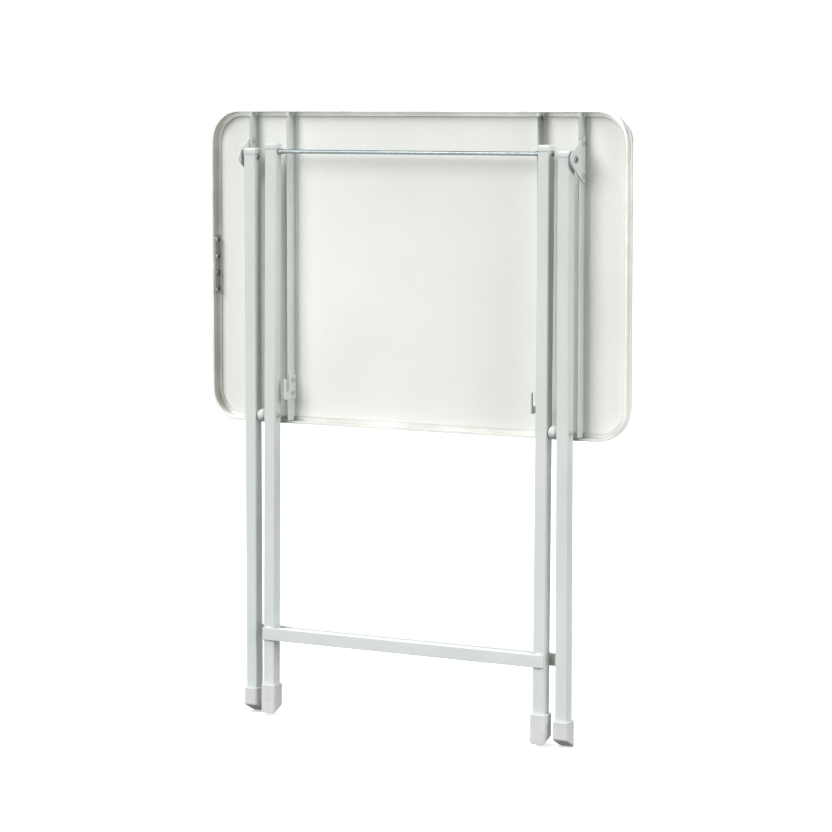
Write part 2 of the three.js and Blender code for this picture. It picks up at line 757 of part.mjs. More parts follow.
function scissorSpacer() {
  const x0 = scissorSplitX;
  const x1 = OUTER_LEG_X - HALF_TUBE - FIT;
  const r = SPACER_EDGE_RADIUS;
  const facet = r * SPACER_FACET_SHARE;
  const profile = [
    [x0, PIVOT_RADIUS + FIT],
    [x0, SPACER_RADIUS - r],
    [x0 + facet, SPACER_RADIUS - facet],
    [x0 + r, SPACER_RADIUS],
    [x1 - r, SPACER_RADIUS],
    [x1 - facet, SPACER_RADIUS - facet],
    [x1, SPACER_RADIUS - r],
    [x1, PIVOT_RADIUS + FIT],
    [x0, PIVOT_RADIUS + FIT],
  ];
  return turned(profile, 0, 0);
}

function crossRod() {
  const end = INNER_LEG_X + HALF_TUBE;
  return rodAlongX(-end, end, ROD_RADIUS, 0, INNER_UPPER);
}

// A cone that steadies the rod against the leg.
function rodCollar() {
  const x1 = innerLegFaceX - FIT;
  const x0 = x1 - ROD_COLLAR_LENGTH;
  const bore = ROD_RADIUS + FIT;
  const profile = [
    [x0, bore],
    [x0, bore + ROD_COLLAR_TIP],
    [x1 - ROD_COLLAR_RIM, ROD_COLLAR_RADIUS],
    [x1, ROD_COLLAR_RADIUS],
    [x1, bore],
    [x0, bore],
  ];
  return turned(profile, 0, INNER_UPPER);
}

function addOuterFrame(table) {
  const frame = new THREE.Group();
  frame.position.z = scissorZ;
  addPair(frame, "outer_leg", frameLeg(outerFrame), materials.paint);
  addMesh(frame, "outer_crossbar", outerCrossbar(), materials.paint);
  addPair(frame, "outer_cap", topCap(outerFrame.x, outerFrame), materials.plastic);
  addPair(frame, "outer_foot", foot(outerFrame.x, outerFrame, -1), materials.plastic);
  addPair(frame, "hinge_pivot", hingePivot(), materials.zinc);
  addPair(frame, "hinge_washer", hingeWasher(), materials.plastic);
  addPair(frame, "scissor_pivot_outer", scissorPivotOuter(), materials.zinc);
  addPair(frame, "scissor_spacer", scissorSpacer(), materials.plastic);
  table.add(frame);
}

// The inner frame hangs on the scissor pivot and leans out by the fold lean.
function addInnerFrame(table) {
  const frame = new THREE.Group();
  frame.position.z = scissorZ;
  frame.rotation.x = -radians(FOLD_LEAN_DEG);
  addPair(frame, "inner_leg", frameLeg(innerFrame), materials.paint);
  addMesh(frame, "inner_crossbar", innerCrossbar(), materials.paint);
  addPair(frame, "inner_cap", topCap(innerFrame.x, innerFrame), materials.plastic);
  addPair(frame, "inner_foot", foot(innerFrame.x, innerFrame, 1), materials.plastic);
  addPair(frame, "scissor_pivot_inner", scissorPivotInner(), materials.zinc);
  addMesh(frame, "cross_rod", crossRod(), materials.zinc);
  addPair(frame, "rod_collar", rodCollar(), materials.zinc);
  table.add(frame);
}

// ---- Assembly ----

const table = new THREE.Group();
table.name = "folding_table";
addTabletop(table);
addOuterFrame(table);
addInnerFrame(table);

// The origin is the middle of the table's footprint, at the height of its lowest foot.
const extent = new THREE.Box3().setFromObject(table);
table.position.y = -(extent.min.y + extent.max.y) / 2;
table.position.z = -extent.min.z;

export default table;
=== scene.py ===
"""Looks of a small folding table, folded flat and standing on its feet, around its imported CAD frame.

Sizes are in millimetres while a piece is modelled. A finished mesh is in metres, in the row frame.
"""

import logging
import math
from collections.abc import Callable, Iterable, Sequence
from dataclasses import dataclass
from enum import Enum
from functools import partial

import bmesh
import bpy
from mathutils import Matrix, Vector


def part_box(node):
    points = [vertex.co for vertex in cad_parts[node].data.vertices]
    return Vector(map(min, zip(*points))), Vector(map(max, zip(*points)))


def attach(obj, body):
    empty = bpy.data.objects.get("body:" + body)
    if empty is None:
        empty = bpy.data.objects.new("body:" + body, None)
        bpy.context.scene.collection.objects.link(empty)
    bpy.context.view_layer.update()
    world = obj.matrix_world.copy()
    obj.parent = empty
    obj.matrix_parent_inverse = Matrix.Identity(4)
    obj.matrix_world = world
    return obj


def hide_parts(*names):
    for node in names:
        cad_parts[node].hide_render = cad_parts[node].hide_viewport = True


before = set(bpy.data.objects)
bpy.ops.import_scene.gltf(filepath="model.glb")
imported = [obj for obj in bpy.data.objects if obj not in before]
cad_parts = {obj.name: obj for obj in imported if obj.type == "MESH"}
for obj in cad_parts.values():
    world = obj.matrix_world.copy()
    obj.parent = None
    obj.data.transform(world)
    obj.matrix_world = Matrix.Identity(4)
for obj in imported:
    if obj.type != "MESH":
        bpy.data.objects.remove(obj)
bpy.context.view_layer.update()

LOG = logging.getLogger("folding_table")

MM = 0.001
# Vertices nearer than this, in millimetres, are one vertex.
MERGE = 1e-4
# Faces that meet at a sharper angle than this, in degrees, keep a crisp edge.
CRISP_ANGLE = 38.0
# A unit vector with more than this share along an axis counts as lying along it.
NEARLY = 0.9
# A unit vector with less than this share along an axis counts as square to it.
SQUARE = 0.01
WHITE = (1.0, 1.0, 1.0, 1.0)
ROUND_STEPS = 32
DOME_STEPS = 5

Mesh = bmesh.types.BMesh
Edge = bmesh.types.BMEdge
Face = bmesh.types.BMFace
Vert = bmesh.types.BMVert
Socket = bpy.types.NodeSocket
Point = tuple[float, float, float]
Span = tuple[float, float]
Profile = list[tuple[float, float]]
Rgb = tuple[int, int, int]
Shade = tuple[float, float, float, float]

ORIGIN = (0.0, 0.0, 0.0)
RIGHTWARDS = Vector((1.0, 0.0, 0.0))
BACKWARDS = Vector((0.0, 1.0, 0.0))
UPWARDS = Vector((0.0, 0.0, 1.0))


class Hand(Enum):
    """The side of the table that a paired piece is on, as the sign of its X."""

    RIGHT = 1
    LEFT = -1

    @property
    def word(self) -> str:
        """The side's name, as the CAD nodes spell it."""
        return self.name.lower()


class Rounding(Enum):
    """What a rounding is applied to, as the bevel operator names it."""

    EDGES = "EDGES"
    CORNERS = "VERTICES"


class Slot(Enum):
    """The record's material slots."""

    BOARD = "board"
    EDGE_ALUMINIUM = "edge_aluminium"
    PAINTED_STEEL = "painted_steel"
    ZINC_STEEL = "zinc_steel"
    GREY_PLASTIC = "grey_plastic"


@dataclass(frozen=True)
class NodeBox:
    """A CAD node's box at rest, in millimetres."""

    low: Vector
    high: Vector

    @classmethod
    def of(cls, node: str) -> "NodeBox":
        """The box of one CAD node.

        Args:
            node: The node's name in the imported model.

        Returns:
            Its box in millimetres.
        """
        low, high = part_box(node)
        return cls(low / MM, high / MM)

    @property
    def centre(self) -> Vector:
        """The middle of the box."""
        return (self.low + self.high) / 2


# ---- Shaping ----


def block(low: Point, high: Point) -> Mesh:
    """A rectangular block.

    Args:
        low: Its lowest corner.
        high: Its highest corner.

    Returns:
        The block as a new mesh.
    """
    mesh = bmesh.new()
    bmesh.ops.create_cube(mesh, size=1.0)
    bmesh.ops.scale(mesh, vec=Vector(high) - Vector(low), verts=mesh.verts)
    bmesh.ops.translate(mesh, vec=(Vector(high) + Vector(low)) / 2, verts=mesh.verts)
    return mesh


def edges_where(mesh: Mesh, test: Callable[[Vector, Vector], bool]) -> list[Edge]:
    """The edges that pass a test of their middle and direction.

    Args:
        mesh: The mesh to look in.
        test: Takes an edge's middle and its direction as a unit vector.

    Returns:
        The edges for which the test is true.
    """
    chosen = []
    for edge in mesh.edges:
        start, end = (v.co for v in edge.verts)
        if test((start + end) / 2, (end - start).normalized()):
            chosen.append(edge)
    return chosen


def upright_edges(mesh: Mesh) -> list[Edge]:
    """The edges that stand along Z."""
    return edges_where(mesh, lambda middle, way: abs(way.z) > NEARLY)


def round_edges(
    mesh: Mesh,
    edges: Iterable[Edge | Vert],
    radius: float,
    segments: int = 3,
    kind: Rounding = Rounding.EDGES,
) -> None:
    """Rounds edges, or the corners of a flat face.

    Args:
        mesh: The mesh they are in.
        edges: The edges or corners to round.
        radius: How far the rounding reaches in.
        segments: Facets across the rounding.
        kind: Whether edges or corners are given.
    """
    bmesh.ops.bevel(
        mesh,
        geom=list(edges),
        offset=radius,
        offset_type="OFFSET",
        segments=segments,
        profile=0.5,
        affect=kind.value,
        material=-1,
    )


def crisp_edges(mesh: Mesh, angle: float = 50.0) -> list[Edge]:
    """The edges whose two faces meet at more than an angle in degrees."""
    limit = math.radians(angle)
    return [e for e in mesh.edges if len(e.link_faces) == 2 and e.calc_face_angle() > limit]


def plate(points: Sequence[Point], radii: Sequence[float], depth: Point, segments: int = 8) -> Mesh:
    """A flat outline with rounded corners, given a thickness.

    Args:
        points: The outline's corners in order.
        radii: Each corner's radius, 0 for a sharp one.
        depth: The thickness as a vector.
        segments: Facets round each corner.

    Returns:
        The plate as a new closed mesh.
    """
    mesh = bmesh.new()
    corners = [mesh.verts.new(p) for p in points]
    mesh.faces.new(corners)
    for radius in sorted(set(radii) - {0.0}):
        alike = [v for v, r in zip(corners, radii) if r == radius]
        round_edges(mesh, alike, radius, segments, Rounding.CORNERS)
    bmesh.ops.remove_doubles(mesh, verts=mesh.verts, dist=MERGE)
    thicken(mesh, mesh.faces[:], depth)
    return mesh


def thicken(mesh: Mesh, faces: Sequence[Face], depth: Point) -> None:
    """Extrudes faces by a vector, and turns every face outwards.

    Args:
        mesh: The mesh the faces are in.
        faces: The faces to extrude.
        depth: The way they move.
    """
    grown = bmesh.ops.extrude_face_region(mesh, geom=list(faces))["geom"]
    verts = [v for v in grown if isinstance(v, Vert)]
    bmesh.ops.translate(mesh, vec=depth, verts=verts)
    bmesh.ops.recalc_face_normals(mesh, faces=mesh.faces)


def spun(mesh: Mesh, geometry: list, centre: Point, axis: Vector, angle: float, steps: int) -> list:
    """Spins vertices and edges about an axis. A full turn joins up with its start.

    Args:
        mesh: The mesh they are in.
        geometry: The vertices and edges.
        centre: A point on the axis.
        axis: The axis's direction.
        angle: The turn, in radians.
        steps: The number of steps in it.

    Returns:
        The vertices and edges at the end of the turn.
    """
    return bmesh.ops.spin(
        mesh,
        geom=geometry,
        cent=centre,
        axis=axis,
        dvec=ORIGIN,
        angle=angle,
        steps=steps,
        use_merge=angle == math.tau,
        use_duplicate=False,
    )["geom_last"]


def cut(mesh: Mesh, geometry: list, point: Point, across: Vector) -> None:
    """Cuts faces along a plane, and keeps both sides.

    Args:
        mesh: The mesh the faces are in.
        geometry: The faces with their edges and vertices.
        point: A point on the plane.
        across: The plane's normal.
    """
    bmesh.ops.bisect_plane(mesh, geom=geometry, plane_co=point, plane_no=across, dist=MERGE)


def turned(profile: Profile, closed: bool = False) -> Mesh:
    """A piece turned about the X axis.

    Args:
        profile: Pairs of a place along X and a radius, in order along the surface.
        closed: True for a ring, whose profile joins up with its start.

    Returns:
        The turned piece as a new closed mesh.
    """
    mesh = bmesh.new()
    verts = [mesh.verts.new((x, 0.0, radius)) for x, radius in profile]
    ends = verts[1:] + (verts[:1] if closed else [])
    edges = [mesh.edges.new(pair) for pair in zip(verts, ends)]
    spun(mesh, [*verts, *edges], ORIGIN, RIGHTWARDS, math.tau, ROUND_STEPS)
    bmesh.ops.remove_doubles(mesh, verts=mesh.verts, dist=MERGE)
    bmesh.ops.recalc_face_normals(mesh, faces=mesh.faces)
    return mesh


def dome(x: float, radius: float, height: float) -> Profile:
    """The profile of a domed head, from its rim to its pole.

    Args:
        x: Where the head's flat side is.
        radius: The head's radius.
        height: How far it stands out along X, negative for a head that faces -X.

    Returns:
        Pairs of a place along X and a radius.
    """
    angles = [math.pi / 2 * i / DOME_STEPS for i in range(DOME_STEPS + 1)]
    return [(x + height * math.sin(a), radius * math.cos(a)) for a in angles]


def moved(mesh: Mesh, offset: Point) -> Mesh:
    """The same mesh, moved by a vector."""
    bmesh.ops.translate(mesh, vec=offset, verts=mesh.verts)
    return mesh


def open_ends(mesh: Mesh, facing: Callable[[Vector], bool]) -> Mesh:
    """Removes the faces whose normal passes a test, so that a wall thickness makes a sleeve.

    Args:
        mesh: A closed mesh.
        facing: Takes a face's normal.

    Returns:
        The same mesh, open where the faces were.
    """
    gone = [f for f in mesh.faces if facing(f.normal)]
    bmesh.ops.delete(mesh, geom=gone, context="FACES")
    return mesh


# ---- Finishes ----


def linear(red: int, green: int, blue: int) -> Shade:
    """A display colour, 0 to 255 a channel, as a shader colour."""

    def channel(value: int) -> float:
        share = value / 255
        return share / 12.92 if share <= 0.04045 else ((share + 0.055) / 1.055) ** 2.4

    return (channel(red), channel(green), channel(blue), 1.0)


class Bench:
    """The nodes of one material, drawn on the piece's object coordinates."""

    def __init__(self, name: str) -> None:
        """Starts a material with a bare shader.

        Args:
            name: The material's name.
        """
        self.material = bpy.data.materials.new(name)
        self.material.use_nodes = True
        self.tree = self.material.node_tree
        self.tree.nodes.clear()
        self.shader = self.add("ShaderNodeBsdfPrincipled")
        output = self.add("ShaderNodeOutputMaterial")
        self.tree.links.new(self.shader.outputs["BSDF"], output.inputs["Surface"])
        self.place = self.add("ShaderNodeTexCoord").outputs["Object"]
        self.normal = None

    def add(self, kind: str) -> bpy.types.Node:
        """A new node of one kind."""
        return self.tree.nodes.new(kind)

    def set(self, socket: str, value: float | tuple[float, ...]) -> None:
        """Sets a uniform value on the shader's own socket."""
        self.shader.inputs[socket].default_value = value

    def feed(self, socket: str, source: Socket) -> None:
        """Feeds a pattern to a socket of the shader."""
        self.tree.links.new(source, self.shader.inputs[socket])

    def stretched(self, stretch: Point) -> Socket:
        """Object coordinates, scaled along each axis."""
        mapping = self.add("ShaderNodeMapping")
        mapping.inputs["Scale"].default_value = stretch
        self.tree.links.new(self.place, mapping.inputs["Vector"])
        return mapping.outputs["Vector"]

    def noise(self, scale: float, detail: float, stretch: Point = (1.0, 1.0, 1.0)) -> Socket:
        """Cloudy noise.

        Args:
            scale: Features in a metre.
            detail: Finer layers on top.
            stretch: How much denser the noise is along each axis.

        Returns:
            A value about 0.5.
        """
        texture = self.add("ShaderNodeTexNoise")
        texture.inputs["Scale"].default_value = scale
        texture.inputs["Detail"].default_value = detail
        self.tree.links.new(self.stretched(stretch), texture.inputs["Vector"])
        return texture.outputs["Fac"]

    def cells(self, scale: float, smooth: float = 0.6) -> Socket:
        """Distance from the middles of rounded cells."""
        texture = self.add("ShaderNodeTexVoronoi")
        texture.feature = "SMOOTH_F1"
        texture.inputs["Scale"].default_value = scale
        texture.inputs["Smoothness"].default_value = smooth
        self.tree.links.new(self.place, texture.inputs["Vector"])
        return texture.outputs["Distance"]

    def spread(self, source: Socket, take: Span = (0.3, 0.7), give: Span = (0.0, 1.0)) -> Socket:
        """Maps one range of values onto another, clamped.

        Args:
            source: The value to map.
            take: The range taken in.
            give: The range given out.

        Returns:
            The mapped value.
        """
        node = self.add("ShaderNodeMapRange")
        self.tree.links.new(source, node.inputs["Value"])
        for name, value in zip(("From Min", "From Max", "To Min", "To Max"), (*take, *give)):
            node.inputs[name].default_value = value
        return node.outputs["Result"]

    def blend(self, share: Socket, first: object, second: object) -> Socket:
        """Mixes two colours, each a colour or a socket, by a share."""
        node = self.add("ShaderNodeMix")
        node.data_type = "RGBA"
        self.tree.links.new(share, node.inputs["Factor"])
        for name, value in (("A", first), ("B", second)):
            socket = next(s for s in node.inputs if s.name == name and s.type == "RGBA")
            if isinstance(value, Socket):
                self.tree.links.new(value, socket)
            else:
                socket.default_value = value
        return next(s for s in node.outputs if s.type == "RGBA")

    def relief(self, height: Socket, depth: float, strength: float = 1.0) -> None:
        """Adds bumps to the surface, over any that are there already.

        Args:
            height: The height pattern, 0 to 1.
            depth: How deep the bumps are, in metres.
            strength: Share of the effect.
        """
        node = self.add("ShaderNodeBump")
        node.inputs["Distance"].default_value = depth
        node.inputs["Strength"].default_value = strength
        self.tree.links.new(height, node.inputs["Height"])
        if self.normal is not None:
            self.tree.links.new(self.normal, node.inputs["Normal"])
        self.normal = node.outputs["Normal"]
        self.feed("Normal", self.normal)


@dataclass(frozen=True)
class Finish:
    """A surface finish, made once as a material and shared by its pieces."""

    name: str
    slot: Slot

    def material(self) -> bpy.types.Material:
        """The finish's material, made at its first use."""
        found = bpy.data.materials.get(self.name)
        return found or self.mixed(Bench(self.name)).material

    def mixed(self, bench: Bench) -> Bench:
        """Builds the finish's nodes on an empty bench.

        Args:
            bench: A bench with a bare shader.

        Returns:
            The same bench.
        """
        raise NotImplementedError


@dataclass(frozen=True)
class PowderCoat(Finish):
    """Light grey-green powder paint on steel, with a fine orange peel."""

    fresh: Rgb = (213, 218, 214)
    deep: Rgb = (204, 210, 206)
    speck: Rgb = (186, 193, 190)
    cloud_scale: float = 9.0
    speck_scale: float = 1900.0
    gloss_scale: float = 40.0
    roughness: Span = (0.34, 0.5)
    peel_scale: float = 620.0
    peel_depth: float = 0.00005
    shine: float = 0.5
    coat: float = 0.25
    coat_roughness: float = 0.22

    def mixed(self, bench: Bench) -> Bench:
        """See Finish."""
        cloud = bench.spread(bench.noise(self.cloud_scale, 4.0), (0.32, 0.68))
        base = bench.blend(cloud, linear(*self.fresh), linear(*self.deep))
        specks = bench.spread(bench.noise(self.speck_scale, 1.0), (0.66, 0.74), (0.0, 0.7))
        bench.feed("Base Color", bench.blend(specks, base, linear(*self.speck)))
        bench.feed("Roughness", bench.spread(bench.noise(self.gloss_scale, 3.0), give=self.roughness))
        bench.relief(bench.noise(self.peel_scale, 2.0), self.peel_depth)
        bench.set("Specular IOR Level", self.shine)
        bench.set("Coat Weight", self.coat)
        bench.set("Coat Roughness", self.coat_roughness)
        return bench


@dataclass(frozen=True)
class ExtrudedAluminium(Finish):
    """Satin aluminium with die lines that run along the profile."""

    bright: Rgb = (202, 203, 199)
    dull: Rgb = (180, 182, 177)
    cloud_scale: float = 22.0
    line_scale: float = 1500.0
    line_stretch: Point = (0.004, 1.0, 0.004)
    line_depth: float = 0.00002
    roughness: Span = (0.38, 0.52)

    def mixed(self, bench: Bench) -> Bench:
        """See Finish."""
        lines = bench.noise(self.line_scale, 2.0, self.line_stretch)
        cloud = bench.spread(bench.noise(self.cloud_scale, 4.0))
        tone = bench.blend(cloud, linear(*self.bright), linear(*self.dull))
        drawn = bench.spread(lines, (0.35, 0.8), (0.0, 0.5))
        bench.feed("Base Color", bench.blend(drawn, tone, linear(*self.dull)))
        bench.feed("Roughness", bench.spread(lines, give=self.roughness))
        bench.relief(lines, self.line_depth)
        bench.set("Metallic", 1.0)
        return bench


@dataclass(frozen=True)
class ZincPlate(Finish):
    """Bright zinc on steel, slightly blue, with a mottled passivation."""

    bright: Rgb = (134, 142, 143)
    dull: Rgb = (112, 121, 122)
    mottle_scale: float = 160.0
    draw_scale: float = 900.0
    draw_stretch: Point = (0.03, 1.0, 1.0)
    draw_depth: float = 0.00002
    roughness: Span = (0.3, 0.46)

    def mixed(self, bench: Bench) -> Bench:
        """See Finish."""
        mottle = bench.spread(bench.noise(self.mottle_scale, 5.0), (0.35, 0.65))
        bench.feed("Base Color", bench.blend(mottle, linear(*self.bright), linear(*self.dull)))
        drawn = bench.noise(self.draw_scale, 2.0, self.draw_stretch)
        bench.feed("Roughness", bench.spread(drawn, give=self.roughness))
        bench.relief(drawn, self.draw_depth)
        bench.set("Metallic", 1.0)
        return bench


@dataclass(frozen=True)
class MouldedPlastic(Finish):
    """Light grey moulded plastic with a fine spark-eroded grain."""

    fresh: Rgb = (217, 219, 216)
    deep: Rgb = (205, 208, 205)
    cloud_scale: float = 60.0
    gloss_scale: float = 90.0
    roughness: Span = (0.48, 0.62)
    grain_scale: float = 1300.0
    grain_depth: float = 0.00006
    shine: float = 0.45

    def mixed(self, bench: Bench) -> Bench:
        """See Finish."""
        cloud = bench.spread(bench.noise(self.cloud_scale, 4.0))
        bench.feed("Base Color", bench.blend(cloud, linear(*self.fresh), linear(*self.deep)))
        bench.feed("Roughness", bench.spread(bench.noise(self.gloss_scale, 2.0), give=self.roughness))
        bench.relief(bench.noise(self.grain_scale, 2.0), self.grain_depth)
        bench.set("Specular IOR Level", self.shine)
        return bench


@dataclass(frozen=True)
class PebbledBacking(Finish):
    """The board's white underside, embossed with a fine pebble, with painted shade in the hollows between
    the pebbles.
    """

    fresh: Rgb = (239, 240, 236)
    deep: Rgb = (230, 231, 226)
    # pit: painted shade, the colour laid into the hollows between the pebbles.
    pit: Rgb = (219, 220, 214)
    cloud_scale: float = 5.0
    gloss_scale: float = 300.0
    roughness: Span = (0.46, 0.6)
    pebble_scale: float = 640.0
    pebble_depth: float = 0.0001
    grain_scale: float = 1400.0
    grain_depth: float = 0.000025

    def mixed(self, bench: Bench) -> Bench:
        """See Finish."""
        cloud = bench.spread(bench.noise(self.cloud_scale, 4.0))
        base = bench.blend(cloud, linear(*self.fresh), linear(*self.deep))
        pebbles = bench.cells(self.pebble_scale)
        # Painted shade: darker colour where the pebble relief is lowest.
        painted_pit_shade = bench.spread(pebbles, (0.42, 0.72), (0.0, 0.22))
        bench.feed("Base Color", bench.blend(painted_pit_shade, base, linear(*self.pit)))
        bench.feed("Roughness", bench.spread(bench.noise(self.gloss_scale, 2.0), give=self.roughness))
        bench.relief(bench.spread(pebbles, (0.1, 0.8), (1.0, 0.0)), self.pebble_depth, 0.6)
        bench.relief(bench.noise(self.grain_scale, 2.0), self.grain_depth, 0.5)
        return bench


@dataclass(frozen=True)
class TopLaminate(Finish):
    """The board's upper face: a smooth, finely flecked laminate."""

    ground: Rgb = (233, 233, 229)
    cloudy: Rgb = (224, 225, 221)
    fleck: Rgb = (186, 187, 182)
    cloud_scale: float = 14.0
    fleck_scale: float = 700.0
    gloss_scale: float = 500.0
    roughness: Span = (0.3, 0.42)
    grain_scale: float = 800.0
    grain_depth: float = 0.00003

    def mixed(self, bench: Bench) -> Bench:
        """See Finish."""
        cloud = bench.spread(bench.noise(self.cloud_scale, 5.0))
        base = bench.blend(cloud, linear(*self.ground), linear(*self.cloudy))
        flecks = bench.spread(bench.noise(self.fleck_scale, 3.0), (0.6, 0.7), (0.0, 0.8))
        bench.feed("Base Color", bench.blend(flecks, base, linear(*self.fleck)))
        bench.feed("Roughness", bench.spread(bench.noise(self.gloss_scale, 2.0), give=self.roughness))
        bench.relief(bench.noise(self.grain_scale, 2.0), self.grain_depth)
        return bench


POWDER_COAT = PowderCoat("powder_coat", Slot.PAINTED_STEEL)
# The weld beads' powder coat is painted lighter than the legs' paint: a painted highlight along the bar's
# edges.
WELD_PAINTED_HIGHLIGHT = PowderCoat("powder_coat_painted_highlight_on_weld", Slot.PAINTED_STEEL, (232, 237, 234), (222, 228, 225))
RIVET_PAINT = PowderCoat(
    "powder_coat_on_rivet", Slot.ZINC_STEEL, (196, 199, 196), (176, 180, 177), (140, 145, 142)
)
EDGE_METAL = ExtrudedAluminium("extruded_aluminium", Slot.EDGE_ALUMINIUM)
JOINT_METAL = ExtrudedAluminium("dull_aluminium", Slot.EDGE_ALUMINIUM, (168, 169, 163), (146, 147, 141))
ZINC = ZincPlate("zinc_plate", Slot.ZINC_STEEL)
DULL_ZINC = ZincPlate("dull_zinc_plate", Slot.ZINC_STEEL, (150, 153, 150), (108, 111, 108))
PLASTIC = MouldedPlastic("moulded_plastic", Slot.GREY_PLASTIC)
CAP_PLASTIC = MouldedPlastic("cap_plastic", Slot.GREY_PLASTIC, (218, 223, 219), (208, 214, 210))
BACKING = PebbledBacking("pebbled_backing", Slot.BOARD)
LAMINATE = TopLaminate("top_laminate", Slot.BOARD)


# ---- Finished pieces ----


def finish_piece(
    mesh: Mesh,
    name: str,
    body: str,
    finish: Finish,
    stands_for: Sequence[str] = (),
    place: Matrix | None = None,
    wall: float = 0.0,
) -> bpy.types.Object:
    """Makes a modelled mesh a piece of the table.

    Args:
        mesh: The shape in millimetres, which is used up.
        name: The piece's name.
        body: The CAD body it rides on.
        finish: Its surface finish.
        stands_for: The CAD nodes it replaces.
        place: Takes the shape to its place in the row frame, still in millimetres.
        wall: Thickness that an open shell is given on its inside.

    Returns:
        The finished object.
    """
    data = bpy.data.meshes.new(name)
    bmesh.ops.transform(mesh, matrix=Matrix.Scale(MM, 4) @ (place or Matrix.Identity(4)), verts=mesh.verts)
    mesh.to_mesh(data)
    mesh.free()
    data.shade_smooth()
    data.set_sharp_from_angle(angle=math.radians(CRISP_ANGLE))
    data.materials.append(finish.material())
    piece = bpy.data.objects.new(name, data)
    bpy.context.scene.collection.objects.link(piece)
    if wall:
        shell = piece.modifiers.new("wall", "SOLIDIFY")
        shell.thickness = wall * MM
        shell.offset = -1.0
        shell.use_even_offset = True
    shading = piece.modifiers.new("flat_faces", "WEIGHTED_NORMAL")
    shading.keep_sharp = True
    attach(piece, body)
    if stands_for:
        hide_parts(*stands_for)
    LOG.info("%s on %s, %d faces", name, body, len(data.polygons))
    return piece


def finish_pair(
    make: Callable[[], Mesh],
    node: str,
    body: str,
    finish: Finish,
    place: Matrix | None = None,
    wall: float = 0.0,
    is_node: bool = True,
) -> None:
    """Makes a right-hand piece and its mirror image on the left.

    Args:
        make: Models the right-hand shape, in millimetres.
        node: The CAD nodes' shared name, or the pieces' own where they stand for none.
        body: The CAD body they ride on.
        finish: Their surface finish.
        place: Takes both shapes to their place in the row frame.
        wall: Thickness that an open shell is given on its inside.
        is_node: True if the pair stands for CAD nodes.
    """
    for hand in Hand:
        mesh = make()
        if hand is Hand.LEFT:
            bmesh.ops.scale(mesh, vec=(-1.0, 1.0, 1.0), verts=mesh.verts)
            bmesh.ops.reverse_faces(mesh, faces=mesh.faces)
        nodes = [f"{node}_{hand.word}"] if is_node else []
        finish_piece(mesh, f"{hand.word}_{node}", body, finish, nodes, place, wall)


@dataclass
class Rivet:
    """A rivet along X, with a domed head at one or both ends."""

    start: float
    end: float
    radius: float = 2.0
    head_radius: float = 3.8
    head_height: float = 1.6
    low_head: bool = True
    high_head: bool = True
    pit_share: float = 0.34
    pit_depth: float = 0.75
    pit_rim: float = 1.2
    pit_foot: float = 0.8

    def head(self, x: float, facing: float) -> Profile:
        """The profile of a domed head with a pit in its middle, from its rim inwards.

        Args:
            x: Where the head's flat side is.
            facing: 1 for a head that faces +X and -1 for one that faces -X.

        Returns:
            Pairs of a place along X and a radius.
        """
        pit = self.head_radius * self.pit_share
        rim, foot = pit * self.pit_rim, pit * self.pit_foot
        domed = [(d, r) for d, r in dome(x, self.head_radius, facing * self.head_height) if r > rim]
        crown = domed[-1][0]
        floor = crown - facing * self.head_height * self.pit_depth
        return [*domed, (crown, pit), (floor, foot), (floor, 0.0)]

    def model(self, y: float, z: float) -> Mesh:
        """The rivet on its axis.

        Args:
            y: The axis's depth.
            z: The axis's height.

        Returns:
            The rivet as a new mesh.
        """
        profile = [(self.start, 0.0), (self.start, self.radius)]
        if self.low_head:
            profile = list(reversed(self.head(self.start, -1.0)))
            profile.append((self.start, self.radius))
        profile.append((self.end, self.radius))
        profile += self.head(self.end, 1.0) if self.high_head else [(self.end, 0.0)]
        return moved(turned(profile), (0.0, y, z))


# ---- Tabletop ----


